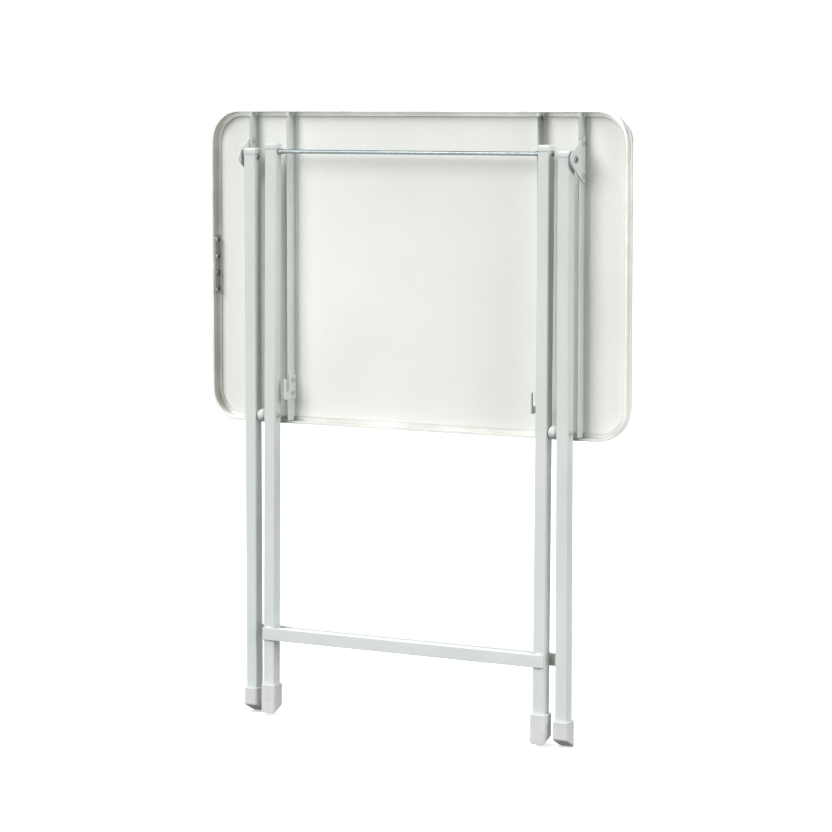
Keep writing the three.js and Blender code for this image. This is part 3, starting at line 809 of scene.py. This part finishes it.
@dataclass
class Tabletop:
    """The board, the edge profile round it, and the plate over the profile's butt joint."""

    body: str = "tabletop"
    corner_radius: float = 42.0
    corner_steps: int = 14
    board_corner_steps: int = 16
    board_edge: float = 0.4
    butt_gap: float = 0.6
    plate_corner: float = 3.0
    plate_edge: float = 0.35
    crimp_pin: float = 1.4
    crimp_proud: float = 0.9
    crimp_skirt: float = 0.6
    crimp_shoulder: Span = (0.35, 0.7)
    crimp_lip: Span = (0.3, 0.4)
    crimp_wall: float = 0.3
    crimp_floor: float = 0.1
    crimp_outer: float = 3.9
    crimp_ridge: float = 2.6
    crimp_pit: float = 1.2

    def build(self) -> None:
        """Models and dresses every piece."""
        self.edge_profile()
        self.board()
        self.joint_plate()
        self.crimps()

    def section(self) -> Profile:
        """The edge profile's section: distances in from its outer face and back from its front."""
        return [
            (3.3, 0.0),
            (1.1, 0.0),
            (0.35, 0.3),
            (0.0, 1.0),
            (0.0, 4.2),
            (0.25, 4.6),
            (1.0, 5.0),
            (1.25, 6.4),
            (1.25, 7.8),
            (1.0, 9.2),
            (0.25, 9.6),
            (0.0, 10.0),
            (0.0, 14.2),
            (0.35, 15.5),
            (1.1, 16.3),
            (2.2, 16.5),
            (8.6, 16.5),
            (9.0, 16.0),
            (8.6, 15.5),
            (4.0, 15.5),
            (4.0, 11.9),
            (8.6, 11.9),
            (9.0, 11.4),
            (8.6, 10.9),
            (4.2, 10.9),
            (3.7, 10.2),
            (3.7, 1.2),
            (3.9, 0.5),
        ]

    def edge_profile(self) -> None:
        """The extruded profile, swept round the board from one side of its butt joint to the other."""
        rim = NodeBox.of("edge_frame")
        mesh = bmesh.new()
        start_z = rim.centre.z + self.butt_gap / 2
        verts = [mesh.verts.new((rim.low.x + d, rim.low.y + y, start_z)) for d, y in self.section()]
        first = [mesh.edges.new(pair) for pair in zip(verts, verts[1:] + verts[:1])]
        radius = self.corner_radius
        half_side = (rim.high.z - rim.low.z) / 2 - radius - self.butt_gap / 2
        across = rim.high.x - rim.low.x - 2 * radius
        down = rim.high.z - rim.low.z - 2 * radius
        left, right = rim.low.x + radius, rim.high.x - radius
        low, high = rim.low.z + radius, rim.high.z - radius
        runs = [
            ((0.0, 0.0, half_side), (left, high)),
            ((across, 0.0, 0.0), (right, high)),
            ((0.0, 0.0, -down), (right, low)),
            ((-across, 0.0, 0.0), (left, low)),
            ((0.0, 0.0, half_side), None),
        ]
        last = first
        for step, corner in runs:
            grown = bmesh.ops.extrude_edge_only(mesh, edges=last)["geom"]
            bmesh.ops.translate(mesh, vec=step, verts=[v for v in grown if isinstance(v, Vert)])
            last = [e for e in grown if isinstance(e, Edge)]
            if corner is not None:
                x, z = corner
                end = spun(mesh, last, (x, 0.0, z), BACKWARDS, math.pi / 2, self.corner_steps)
                last = [e for e in end if isinstance(e, Edge)]
        for loop in (first, last):
            bmesh.ops.contextual_create(mesh, geom=loop)
        bmesh.ops.remove_doubles(mesh, verts=mesh.verts, dist=MERGE)
        bmesh.ops.recalc_face_normals(mesh, faces=mesh.faces)
        finish_piece(mesh, "edge_profile", self.body, EDGE_METAL, ["edge_frame"])

    def board(self) -> None:
        """The board, with its pebbled underside and smooth upper face."""
        box = NodeBox.of("tabletop_panel")
        inset = box.low.x - NodeBox.of("edge_frame").low.x
        corners = [
            (box.low.x, box.low.y, box.low.z),
            (box.high.x, box.low.y, box.low.z),
            (box.high.x, box.low.y, box.high.z),
            (box.low.x, box.low.y, box.high.z),
        ]
        thickness = box.high.y - box.low.y
        radii = [self.corner_radius - inset] * len(corners)
        mesh = plate(corners, radii, (0.0, thickness, 0.0), self.board_corner_steps)
        round_edges(mesh, crisp_edges(mesh), self.board_edge, 2)
        piece = finish_piece(mesh, "tabletop_board", self.body, BACKING, ["tabletop_panel"])
        piece.data.materials.append(LAMINATE.material())
        for face in piece.data.polygons:
            face.material_index = int(face.normal.y > 0.5)

    def joint_plate(self) -> None:
        """The plate inside the profile's left wall."""
        box = NodeBox.of("edge_joint_plate")
        mesh = block(box.low, box.high)
        round_edges(mesh, edges_where(mesh, lambda middle, way: abs(way.x) > NEARLY), self.plate_corner, 4)
        round_edges(mesh, crisp_edges(mesh), self.plate_edge, 2)
        finish_piece(mesh, "profile_joint_plate", self.body, JOINT_METAL, ["edge_joint_plate"])

    def crimps(self) -> None:
        """Tubular rivets, rolled over round a pit, that hold the joint plate."""
        for i in range(1, 5):
            node = f"edge_joint_rivet_{i}"
            box = NodeBox.of(node)
            face = NodeBox.of("edge_joint_plate").high.x
            top = box.high.x + self.crimp_proud
            profile = [
                (box.low.x, 0.0),
                (box.low.x, self.crimp_pin),
                (face, self.crimp_pin),
                (face, self.crimp_outer),
                (face + self.crimp_skirt, self.crimp_outer),
                (top - self.crimp_shoulder[0], self.crimp_ridge + self.crimp_shoulder[1]),
                (top, self.crimp_ridge),
                (top - self.crimp_lip[0], self.crimp_pit + self.crimp_lip[1]),
                (face + self.crimp_wall, self.crimp_pit),
                (face + self.crimp_floor, 0.0),
            ]
            mesh = moved(turned(profile), (0.0, box.centre.y, box.centre.z))
            finish_piece(mesh, f"profile_crimp_{i}", self.body, DULL_ZINC, [node])


# ---- Rails, hinge plates and catches ----


@dataclass
class Rails:
    """The folded rails under the top, with their hinge plates and catches."""

    body: str = "tabletop"
    sheet: float = 1.2
    foot: float = 6.0
    foot_inset: float = 5.0
    tongue_depth: float = 14.0
    bend_radius: float = 1.1
    sheet_edge: float = 0.3
    sheet_crisp: float = 80.0
    hinge_plate_edge: float = 0.35
    hinge_nose_radius: float = 18.0
    hinge_nose_steps: int = 20
    hinge_shoulder: float = 20.0
    catch_front_slot: float = 4.2
    catch_slot: float = 7.0
    catch_under_slot: float = 9.0
    catch_finger_short: float = 5.0
    catch_corner: float = 1.8

    def build(self) -> None:
        """Models and dresses every piece."""
        for node in ("outer_rail", "inner_rail"):
            finish_pair(partial(self.rail, node), node, self.body, POWDER_COAT)
        finish_pair(self.hinge_plate, "hinge_plate", self.body, POWDER_COAT)
        finish_pair(self.catch, "catch", self.body, POWDER_COAT)
        for node in ("hinge_plate_rivet", "catch_rivet"):
            for place in ("upper", "lower"):
                name = f"{node}_{place}"
                finish_pair(partial(self.rivet, name), name, self.body, RIVET_PAINT)

    def rail(self, node: str) -> Mesh:
        """A right-hand rail: an upright flange, a narrow foot on the board and a tongue at each end.

        Args:
            node: "outer_rail" or "inner_rail".

        Returns:
            The rail as a new mesh.
        """
        box = NodeBox.of(f"{node}_right")
        outward = 1.0 if node == "outer_rail" else -1.0
        face = box.low.x if outward > 0 else box.high.x
        back = face + outward * self.sheet
        toe = back + outward * self.foot
        lip, root = box.low.y, box.high.y
        tongue = lip + self.tongue_depth
        low, high = box.low.z + self.foot_inset, box.high.z - self.foot_inset
        mesh = bmesh.new()

        def corner(x: float, y: float) -> Vert:
            return mesh.verts.new((x, y, low))

        shared = [corner(back, tongue), corner(face, tongue)]
        flange = [corner(face, lip), corner(back, lip), *shared]
        upper = root - self.sheet
        angle = [corner(back, upper), corner(toe, upper), corner(toe, root), corner(face, root)]
        mesh.faces.new(flange)
        mesh.faces.new([shared[1], shared[0], *angle])
        thicken(mesh, mesh.faces[:], (0.0, 0.0, high - low))
        for z, step in ((low, -self.foot_inset), (high, self.foot_inset)):
            ends = [
                f
                for f in mesh.faces
                if abs(f.normal.z) > NEARLY
                and abs(f.calc_center_median().z - z) < MERGE
                and f.calc_center_median().y < tongue
            ]
            thicken(mesh, ends, (0.0, 0.0, step))
        fold = Vector((face, root))
        bend = [e for e in upright_edges(mesh) if (e.verts[0].co.xy - fold).length < MERGE]
        round_edges(mesh, bend, self.bend_radius, 4)
        round_edges(mesh, crisp_edges(mesh, self.sheet_crisp), self.sheet_edge, 2)
        return mesh

    def hinge_plate(self) -> Mesh:
        """A fin with straight sides and a round nose forwards."""
        box = NodeBox.of("hinge_plate_right")
        x, middle = box.low.x, box.centre.z
        half = (box.high.z - box.low.z) / 2
        nose = box.low.y + self.hinge_nose_radius
        shoulder = NodeBox.of("hinge_pivot_right").centre.y + self.hinge_shoulder
        reach = math.hypot(shoulder - nose, half)
        touch = math.atan2(half, shoulder - nose) + math.acos(self.hinge_nose_radius / reach)
        tip = nose + self.hinge_nose_radius / math.cos(touch)
        corners = [
            (x, box.high.y, middle - half),
            (x, box.high.y, middle + half),
            (x, shoulder, middle + half),
            (x, tip, middle),
            (x, shoulder, middle - half),
        ]
        radii = [0.0, 0.0, 0.0, self.hinge_nose_radius, 0.0]
        mesh = plate(corners, radii, (box.high.x - x, 0.0, 0.0), self.hinge_nose_steps)
        round_edges(mesh, crisp_edges(mesh), self.hinge_plate_edge, 2)
        return mesh

    def catch(self) -> Mesh:
        """A hook that opens upwards, in front of the inner rail's lip."""
        box = NodeBox.of("catch_right")
        x, front, back = box.low.x, box.low.y, box.high.y
        low, high = box.low.z, box.high.z
        slot_front = front + self.catch_front_slot
        slot_back = slot_front + self.catch_slot
        finger = high - self.catch_finger_short
        slot_low = low + self.catch_under_slot
        outline = [
            (slot_front, finger, self.catch_corner),
            (front, finger, self.catch_corner),
            (front, low, self.catch_corner),
            (back, low, 0.0),
            (back, high, 0.0),
            (slot_back, high, self.catch_corner),
            (slot_back, slot_low, self.catch_slot / 2),
            (slot_front, slot_low, self.catch_slot / 2),
        ]
        points = [(x, y, z) for y, z, _ in outline]
        mesh = plate(points, [r for _, _, r in outline], (box.high.x - x, 0.0, 0.0))
        round_edges(mesh, crisp_edges(mesh), self.hinge_plate_edge, 2)
        return mesh

    def rivet(self, node: str) -> Mesh:
        """A right-hand rivet where its CAD node is."""
        box = NodeBox.of(f"{node}_right")
        head = Rivet.head_height
        return Rivet(box.low.x + head, box.high.x - head).model(box.centre.y, box.centre.z)


# ---- Leg frames ----


@dataclass
class LegFrame:
    """A pair of legs with their crossbar, caps and feet, drawn about the scissor pivot."""

    body: str
    word: str
    leg_x: float
    upper: float
    lower: float
    sole_angle: float
    sole_facing: float
    foot_sleeve: float
    tube: float = 16.0
    tube_wall: float = 1.2
    tube_corner: float = 2.0
    fit: float = 0.3
    cap_fit: float = 0.15
    cap_wall: float = 0.45
    cap_above: float = 11.0
    cap_skirt_above: float = 3.2
    cap_top: float = 2.0
    cap_corner: float = 2.8
    cap_edge: float = 3.4
    foot_wall: float = 2.5
    foot_sole: float = 3.5
    foot_edge: float = 1.6
    rib_count: int = 5
    rib_depth: float = 0.18
    rib_margin: float = 0.28
    rib_above_sole: float = 3.0
    rib_below_top: float = 2.2
    bar_height: float = 16.0
    bar_depth: float = 11.0
    bar_tab: float = 2.6
    bar_flattening: float = 9.0
    bar_below: float = 280.0
    bar_edge: float = 0.9
    weld_length: float = 6.5
    weld_radius: float = 1.4
    weld_ripples: int = 7
    weld_rise: float = 0.3
    weld_proud: float = 0.4
    weld_swell: float = 0.4
    weld_neck: Span = (0.15, 0.82)
    weld_crest: float = 0.6
    pivot_radius: float = 3.0
    pivot_head: Span = (3.8, 1.6)

    @property
    def place(self) -> Matrix:
        """From the frame's own axes to the row frame, in millimetres."""
        pivot = NodeBox.of("scissor_pivot_outer_right").centre
        return Matrix.Translation((0.0, pivot.y, pivot.z)) @ self.lean

    @property
    def lean(self) -> Matrix:
        """How the frame is turned about the scissor pivot at rest."""
        return Matrix.Identity(4)

    @property
    def half(self) -> float:
        """Half the tube's side."""
        return self.tube / 2

    @property
    def foot_half(self) -> float:
        """Half the foot's side."""
        return self.half + self.fit + self.foot_wall

    @property
    def sole_rise(self) -> float:
        """How far the sole's edges are above and below its middle."""
        return self.foot_half * math.tan(math.radians(self.sole_angle))

    @property
    def tube_bottom(self) -> float:
        """The tube's lower end."""
        return -self.lower + self.sole_rise + self.foot_sole + self.fit

    def pair(self, make: Callable[[], Mesh], part: str, finish: Finish, wall: float = 0.0) -> None:
        """Makes a pair of this frame's pieces that stand for CAD nodes of the same name."""
        finish_pair(make, f"{self.word}_{part}", self.body, finish, self.place, wall)

    def build(self) -> None:
        """Models and dresses every piece."""
        self.pair(self.leg, "leg", POWDER_COAT, self.tube_wall)
        self.pair(self.cap, "cap", CAP_PLASTIC, self.cap_wall)
        self.pair(self.foot, "foot", PLASTIC, self.foot_wall)
        node = f"{self.word}_crossbar"
        name = f"{self.word}_frame_crossbar"
        finish_piece(self.crossbar(), name, self.body, POWDER_COAT, [node], self.place)
        for edge, sign in (("upper", 1.0), ("lower", -1.0)):
            name = f"{self.word}_weld_{edge}"
            bead = partial(self.weld, sign)
            # The beads' lighter paint is a painted highlight.
            finish_pair(bead, name, self.body, WELD_PAINTED_HIGHLIGHT, self.place, is_node=False)

    def sleeve(self, half: float, low: float, high: float, corner: float) -> Mesh:
        """A standing block on the leg, with round upright edges.

        Args:
            half: Half its side.
            low: Its lower end.
            high: Its upper end.
            corner: The radius of its upright edges.

        Returns:
            The block as a new mesh.
        """
        mesh = block((self.leg_x - half, -half, low), (self.leg_x + half, half, high))
        round_edges(mesh, upright_edges(mesh), corner, 5)
        return mesh

    def leg(self) -> Mesh:
        """A square tube, open at both ends."""
        top = self.upper + self.cap_above - self.cap_top - self.fit
        mesh = self.sleeve(self.half, self.tube_bottom, top, self.tube_corner)
        return open_ends(mesh, lambda normal: abs(normal.z) > NEARLY)

    def cap(self) -> Mesh:
        """A cap over the tube's upper end, domed at its edges."""
        half = self.half + self.cap_fit + self.cap_wall
        top = self.upper + self.cap_above
        mesh = self.sleeve(half, self.upper + self.cap_skirt_above, top, self.cap_corner)
        rim = edges_where(mesh, lambda middle, way: abs(middle.z - top) < MERGE)
        round_edges(mesh, rim, self.cap_edge, 5)
        return open_ends(mesh, lambda normal: normal.z < -NEARLY)

    def foot(self) -> Mesh:
        """A ribbed sleeve with a slanted sole, which lies flat on the floor when the table stands open."""
        half, rise = self.foot_half, self.sole_rise
        top = self.tube_bottom + self.foot_sleeve
        mesh = block((self.leg_x - half, -half, -self.lower), (self.leg_x + half, half, top))
        for vert in mesh.verts:
            if vert.co.z < top - MERGE:
                vert.co.z += self.sole_facing * rise * vert.co.y / half
        corner = self.tube_corner + self.fit + self.foot_wall
        round_edges(mesh, upright_edges(mesh), corner, 5)
        ground = -self.lower + rise
        sole = edges_where(mesh, lambda middle, way: middle.z < ground + 1.0 and abs(way.z) < NEARLY)
        round_edges(mesh, sole, self.foot_edge, 3)
        low, high = ground + self.rib_above_sole, top - self.rib_below_top
        for z in (low, high):
            cut(mesh, [*mesh.verts, *mesh.edges, *mesh.faces], (0.0, 0.0, z), UPWARDS)
        pitch = 2 * (half - corner) / self.rib_count
        for across, centre in ((RIGHTWARDS, self.leg_x), (BACKWARDS, 0.0)):
            for i in range(1, self.rib_count):
                band = [f for f in mesh.faces if self.in_band(f, low, high, across)]
                edges = {e for f in band for e in f.edges}
                verts = {v for f in band for v in f.verts}
                place = centre + (i - self.rib_count / 2) * pitch
                cut(mesh, [*band, *edges, *verts], across * place, across)
        ways = (RIGHTWARDS, BACKWARDS)
        panels = [f for f in mesh.faces if any(self.in_band(f, low, high, way) for way in ways)]
        bmesh.ops.inset_individual(mesh, faces=panels, thickness=self.rib_margin, depth=-self.rib_depth)
        return open_ends(mesh, lambda normal: normal.z > NEARLY)

    @staticmethod
    def in_band(face: Face, low: float, high: float, across: Vector) -> bool:
        """True for a flat side face between two heights that runs along a direction.

        Args:
            face: The face to test.
            low: The band's lower height.
            high: Its upper height.
            across: The direction that the face runs along.

        Returns:
            Whether the face is one of the band's.
        """
        middle = face.calc_center_median()
        level = low < middle.z < high
        flat = max(abs(face.normal.z), abs(face.normal.dot(across))) < SQUARE
        return level and flat

    def bar_outline(self) -> Profile:
        """The crossbar's outline seen from above, as pairs of X and Y."""
        raise NotImplementedError

    def mirrored_outline(
        self, half_length: float, body_half: float, near: float, away: float
    ) -> Profile:
        """A crossbar's outline from its depths off the legs' faces.

        Args:
            half_length: Half the bar's length.
            body_half: Half the length of its round body, where the tabs start.
            near: The body's nearer side.
            away: The direction in Y that leads off the legs.

        Returns:
            Pairs of X and Y.
        """

        def at(depth: float) -> float:
            return away * (self.half + depth)

        tab = self.fit + self.bar_tab
        far = max(near + self.bar_depth, tab)
        taper = body_half - self.bar_flattening
        tip = [(half_length, at(self.fit)), (half_length, at(tab))]
        outer = [*tip, (body_half, at(tab)), (taper, at(far))]
        inner = [(taper, at(near)), (body_half, at(self.fit))]
        back = [(-x, y) for x, y in reversed(outer)]
        front = [(-x, y) for x, y in reversed(inner)]
        return [*outer, *back, *front, *inner]

    def crossbar(self) -> Mesh:
        """A bar with flattened ends across the legs."""
        low = -self.bar_below - self.bar_height / 2
        points = [(x, y, low) for x, y in self.bar_outline()]
        kept = [p for i, p in enumerate(points) if (Vector(p) - Vector(points[i - 1])).length > MERGE]
        mesh = plate(kept, [0.0] * len(kept), (0.0, 0.0, self.bar_height))
        round_edges(mesh, crisp_edges(mesh, 60.0), self.bar_edge, 3)
        return mesh

    def weld_y(self) -> float:
        """The depth of the weld beads, where the bar's tab meets the leg."""
        raise NotImplementedError

    def weld(self, sign: float) -> Mesh:
        """A rippled weld bead along the edge of the bar's right-hand tab.

        Args:
            sign: 1 for the bar's upper edge and -1 for its lower edge.

        Returns:
            The bead as a new mesh.
        """
        start = self.leg_x - self.weld_length / 2
        pitch = self.weld_length / self.weld_ripples
        profile = [(start, 0.0)]
        for i in range(self.weld_ripples):
            fullness = math.sin(math.pi * (i + 0.5) / self.weld_ripples) ** self.weld_swell
            radius = self.weld_radius * fullness
            profile.append((start + pitch * (i + self.weld_neck[0]), radius * self.weld_neck[1]))
            profile.append((start + pitch * (i + self.weld_crest), radius))
        profile.append((start + self.weld_length, 0.0))
        height = -self.bar_below + sign * (self.bar_height / 2 + self.weld_rise)
        return moved(turned(profile), (0.0, self.weld_y(), height))

    def pivot(
        self, node: str, low_head: bool, high_head: bool, head_radius: float, head_height: float
    ) -> Mesh:
        """A right-hand pivot rivet where its CAD node is, about the frame's own axes.

        Args:
            node: The node's name without its side.
            low_head: Whether its end towards the middle has a head.
            high_head: Whether its outer end has a head.
            head_radius: The heads' radius.
            head_height: How far they stand out.

        Returns:
            The rivet as a new mesh.
        """
        box = NodeBox.of(f"{node}_right")
        start = box.low.x + (head_height if low_head else 0.0)
        end = box.high.x - (head_height if high_head else 0.0)
        rivet = Rivet(start, end, self.pivot_radius, head_radius, head_height, low_head, high_head)
        spot = self.place.inverted() @ box.centre
        return rivet.model(spot.y, spot.z)


@dataclass
class OuterFrame(LegFrame):
    """The outer legs, which carry the top's hinge and the scissor spacers."""

    body: str = "outer_frame"
    word: str = "outer"
    leg_x: float = 225.0
    upper: float = 329.0
    lower: float = 380.5
    sole_angle: float = 26.9
    sole_facing: float = -1.0
    foot_sleeve: float = 19.0
    bar_short: float = 3.0
    spacer_radius: float = 8.0
    spacer_edge: float = 3.6
    spacer_bore: float = 3.3
    spacer_steps: int = 10
    spacer_swell: int = 3
    washer_radius: float = 4.4
    washer_edge: float = 0.4
    hinge_head: Span = (4.3, 2.0)

    def build(self) -> None:
        """Models and dresses every piece."""
        super().build()
        hinge, scissor = "hinge_pivot", "scissor_pivot_outer"
        whole = partial(self.pivot, hinge, True, True, *self.hinge_head)
        outer_half = partial(self.pivot, scissor, False, True, *self.pivot_head)
        finish_pair(whole, hinge, self.body, DULL_ZINC, self.place)
        finish_pair(outer_half, scissor, self.body, RIVET_PAINT, self.place)
        finish_pair(self.spacer, "scissor_spacer", self.body, PLASTIC, self.place)
        finish_pair(self.washer, "hinge_washer", self.body, PLASTIC, self.place)

    def bar_outline(self) -> Profile:
        """The outer bar lies behind its legs."""
        length = self.leg_x + self.half - self.bar_short
        return self.mirrored_outline(length, self.leg_x - self.half, self.fit, 1.0)

    def weld_y(self) -> float:
        """Behind the legs."""
        return self.half + self.weld_proud

    def spacer(self) -> Mesh:
        """A barrel between the two legs, round the scissor pivot."""
        box = NodeBox.of("scissor_spacer_right")
        middle, half = box.centre.x, (box.high.x - box.low.x) / 2
        profile = [(box.low.x, self.spacer_bore)]
        for i in range(self.spacer_steps + 1):
            share = -1.0 + 2.0 * i / self.spacer_steps
            radius = self.spacer_radius - self.spacer_edge * abs(share) ** self.spacer_swell
            profile.append((middle + half * share, radius))
        profile.append((box.high.x, self.spacer_bore))
        return turned(profile, closed=True)

    def washer(self) -> Mesh:
        """A washer between the leg and the hinge plate."""
        box = NodeBox.of("hinge_washer_right")
        edge = self.washer_edge
        profile = [
            (box.low.x, self.spacer_bore),
            (box.low.x, self.washer_radius - edge),
            (box.low.x + edge, self.washer_radius),
            (box.high.x - edge, self.washer_radius),
            (box.high.x, self.washer_radius - edge),
            (box.high.x, self.spacer_bore),
        ]
        return moved(turned(profile, closed=True), (0.0, 0.0, self.upper))


@dataclass
class InnerFrame(LegFrame):
    """The inner legs, which nest between the outer ones and carry the rod."""

    body: str = "inner_frame"
    word: str = "inner"
    leg_x: float = 196.0
    upper: float = 335.5
    lower: float = 377.7
    sole_angle: float = 26.0
    sole_facing: float = 1.0
    foot_sleeve: float = 23.5

    @property
    def lean(self) -> Matrix:
        """The frame rests slightly out of the outer frame's plane, feet forwards."""
        reach = NodeBox.of("cross_rod").centre - NodeBox.of("scissor_pivot_outer_right").centre
        return Matrix.Rotation(-math.atan2(reach.y, reach.z), 4, "X")

    def build(self) -> None:
        """Models and dresses every piece."""
        super().build()
        scissor = "scissor_pivot_inner"
        inner_half = partial(self.pivot, scissor, True, False, *self.pivot_head)
        finish_pair(inner_half, scissor, self.body, RIVET_PAINT, self.place)

    def bar_outline(self) -> Profile:
        """The inner bar lies across the front of its legs, and its body sinks in between them."""
        near = self.fit + self.bar_tab - self.bar_depth
        return self.mirrored_outline(self.leg_x + self.half, self.leg_x - self.half - self.fit, near, -1.0)

    def weld_y(self) -> float:
        """In front of the legs."""
        return -self.half - self.weld_proud


@dataclass
class HookingRod:
    """The rod between the inner legs' upper ends, which the catches take."""

    body: str = "cross_rod"
    radius: float = 2.5
    head_radius: float = 4.0
    head_height: float = 2.0
    collar_radius: float = 3.6
    collar_rim: float = 1.0
    collar_fit: float = 0.3
    collar_wall: float = 0.3
    collar_neck: Span = (2.5, 0.5)
    collar_shoulder: Span = (0.8, 0.2)

    def build(self) -> None:
        """Models and dresses every piece."""
        box = NodeBox.of("cross_rod")
        rod = Rivet(box.low.x, box.high.x, self.radius, self.head_radius, self.head_height)
        finish_piece(rod.model(box.centre.y, box.centre.z), "hooking_rod", self.body, ZINC, ["cross_rod"])
        finish_pair(self.collar, "rod_collar", self.body, ZINC)

    def collar(self) -> Mesh:
        """A cone that steadies the rod against the leg."""
        box = NodeBox.of("rod_collar_right")
        bore = self.radius + self.collar_fit
        rim, (back, drop) = box.high.x - self.collar_rim, self.collar_shoulder
        profile = [
            (box.low.x, bore),
            (box.low.x, bore + self.collar_wall),
            (box.low.x + self.collar_neck[0], bore + self.collar_neck[1]),
            (rim - back, self.collar_radius - drop),
            (rim, self.collar_radius),
            (box.high.x, self.collar_radius),
            (box.high.x, bore),
        ]
        return moved(turned(profile, closed=True), (0.0, box.centre.y, box.centre.z))


# ---- Studio ----


@dataclass
class Studio:
    """A pale floor, wide soft lights and the camera."""

    camera_place: Point = (1.9926, -3.3498, 0.7818)
    camera_down: float = 5.68
    camera_turn: float = 30.6
    lens: float = 136.1
    sensor: float = 36.0
    sight: float = 500.0
    lamp_distance: float = 5.0
    floor_radius: float = 60.0
    floor_steps: int = 96
    floor_mottle: float = 1.5
    floor_tones: tuple[Shade, Shade] = ((0.93, 0.93, 0.93, 1.0), (0.91, 0.91, 0.91, 1.0))
    floor_roughness: float = 0.9
    floor_shine: float = 0.1
    floor_glow: float = 0.3
    world_light: float = 0.1
    world_gloss: float = 0.76
    backdrop: float = 1.0

    def build(self) -> None:
        """Sets the floor, lights, world and camera."""
        self.floor()
        self.world()
        self.camera()
        for name, azimuth, elevation, spread, strength in (
            ("main_softbox", -28.0, 30.0, 36.0, 2.72),
            ("right_softbox", 80.0, 20.0, 34.0, 2.15),
            ("top_softbox", -15.0, 66.0, 40.0, 0.9),
            ("back_fill", 200.0, 35.0, 60.0, 2.0),
        ):
            self.softbox(name, azimuth, elevation, spread, strength)
        settings = bpy.context.scene.view_settings
        settings.view_transform = "Standard"
        settings.look = "None"

    def floor(self) -> None:
        """A wide round floor that lights and shadows fall on."""
        mesh = bmesh.new()
        bmesh.ops.create_circle(mesh, cap_ends=True, radius=self.floor_radius, segments=self.floor_steps)
        data = bpy.data.meshes.new("studio_floor")
        mesh.to_mesh(data)
        mesh.free()
        floor = bpy.data.objects.new("studio_floor", data)
        bpy.context.scene.collection.objects.link(floor)
        bench = Bench("studio_floor_paint")
        tone = bench.spread(bench.noise(self.floor_mottle, 2.0))
        bench.feed("Base Color", bench.blend(tone, *self.floor_tones))
        bench.set("Roughness", self.floor_roughness)
        bench.set("Specular IOR Level", self.floor_shine)
        bench.set("Emission Color", WHITE)
        bench.set("Emission Strength", self.floor_glow)
        data.materials.append(bench.material)
        floor.visible_diffuse = False

    def world(self) -> None:
        """A white backdrop for the camera, dimmer in reflections and dim in the light it gives."""
        world = bpy.data.worlds.new("studio")
        bpy.context.scene.world = world
        world.use_nodes = True
        tree = world.node_tree
        tree.nodes.clear()
        output = tree.nodes.new("ShaderNodeOutputWorld")
        rays = tree.nodes.new("ShaderNodeLightPath")

        def backdrop(strength: float) -> Socket:
            background = tree.nodes.new("ShaderNodeBackground")
            background.inputs["Color"].default_value = WHITE
            background.inputs["Strength"].default_value = strength
            return background.outputs["Background"]

        seen = backdrop(self.world_light)
        for ray, strength in (("Is Glossy Ray", self.world_gloss), ("Is Camera Ray", self.backdrop)):
            mix = tree.nodes.new("ShaderNodeMixShader")
            tree.links.new(rays.outputs[ray], mix.inputs["Fac"])
            tree.links.new(seen, mix.inputs[1])
            tree.links.new(backdrop(strength), mix.inputs[2])
            seen = mix.outputs["Shader"]
        tree.links.new(seen, output.inputs["Surface"])

    def softbox(self, name: str, azimuth: float, elevation: float, spread: float, strength: float) -> None:
        """A wide light a long way off.

        Args:
            name: The light's name.
            azimuth: Where it stands, 0 in front of the table and 90 to its right.
            elevation: Its height above the horizon.
            spread: How wide it looks, in degrees.
            strength: Its strength.
        """
        lamp = bpy.data.lights.new(name, "SUN")
        lamp.energy = strength
        lamp.angle = math.radians(spread)
        light = bpy.data.objects.new(name, lamp)
        a, e = math.radians(azimuth), math.radians(elevation)
        towards = Vector((math.sin(a) * math.cos(e), -math.cos(a) * math.cos(e), math.sin(e)))
        light.location = towards * self.lamp_distance
        light.rotation_euler = towards.to_track_quat("Z", "Y").to_euler()
        bpy.context.scene.collection.objects.link(light)

    def camera(self) -> None:
        """A long lens in front and to the right, slightly above the top's middle."""
        lens = bpy.data.cameras.new("camera")
        lens.lens = self.lens
        lens.sensor_width = self.sensor
        lens.clip_end = self.sight
        camera = bpy.data.objects.new("camera", lens)
        camera.location = self.camera_place
        camera.rotation_euler = (math.radians(90.0 - self.camera_down), 0.0, math.radians(self.camera_turn))
        bpy.context.scene.collection.objects.link(camera)
        bpy.context.scene.camera = camera


def main() -> None:
    """Builds the table's looks around the frame."""
    logging.basicConfig(level=logging.INFO, format="%(name)s: %(message)s")
    for part in (Studio(), Tabletop(), Rails(), OuterFrame(), InnerFrame(), HookingRod()):
        part.build()


if __name__ == "__main__":
    main()
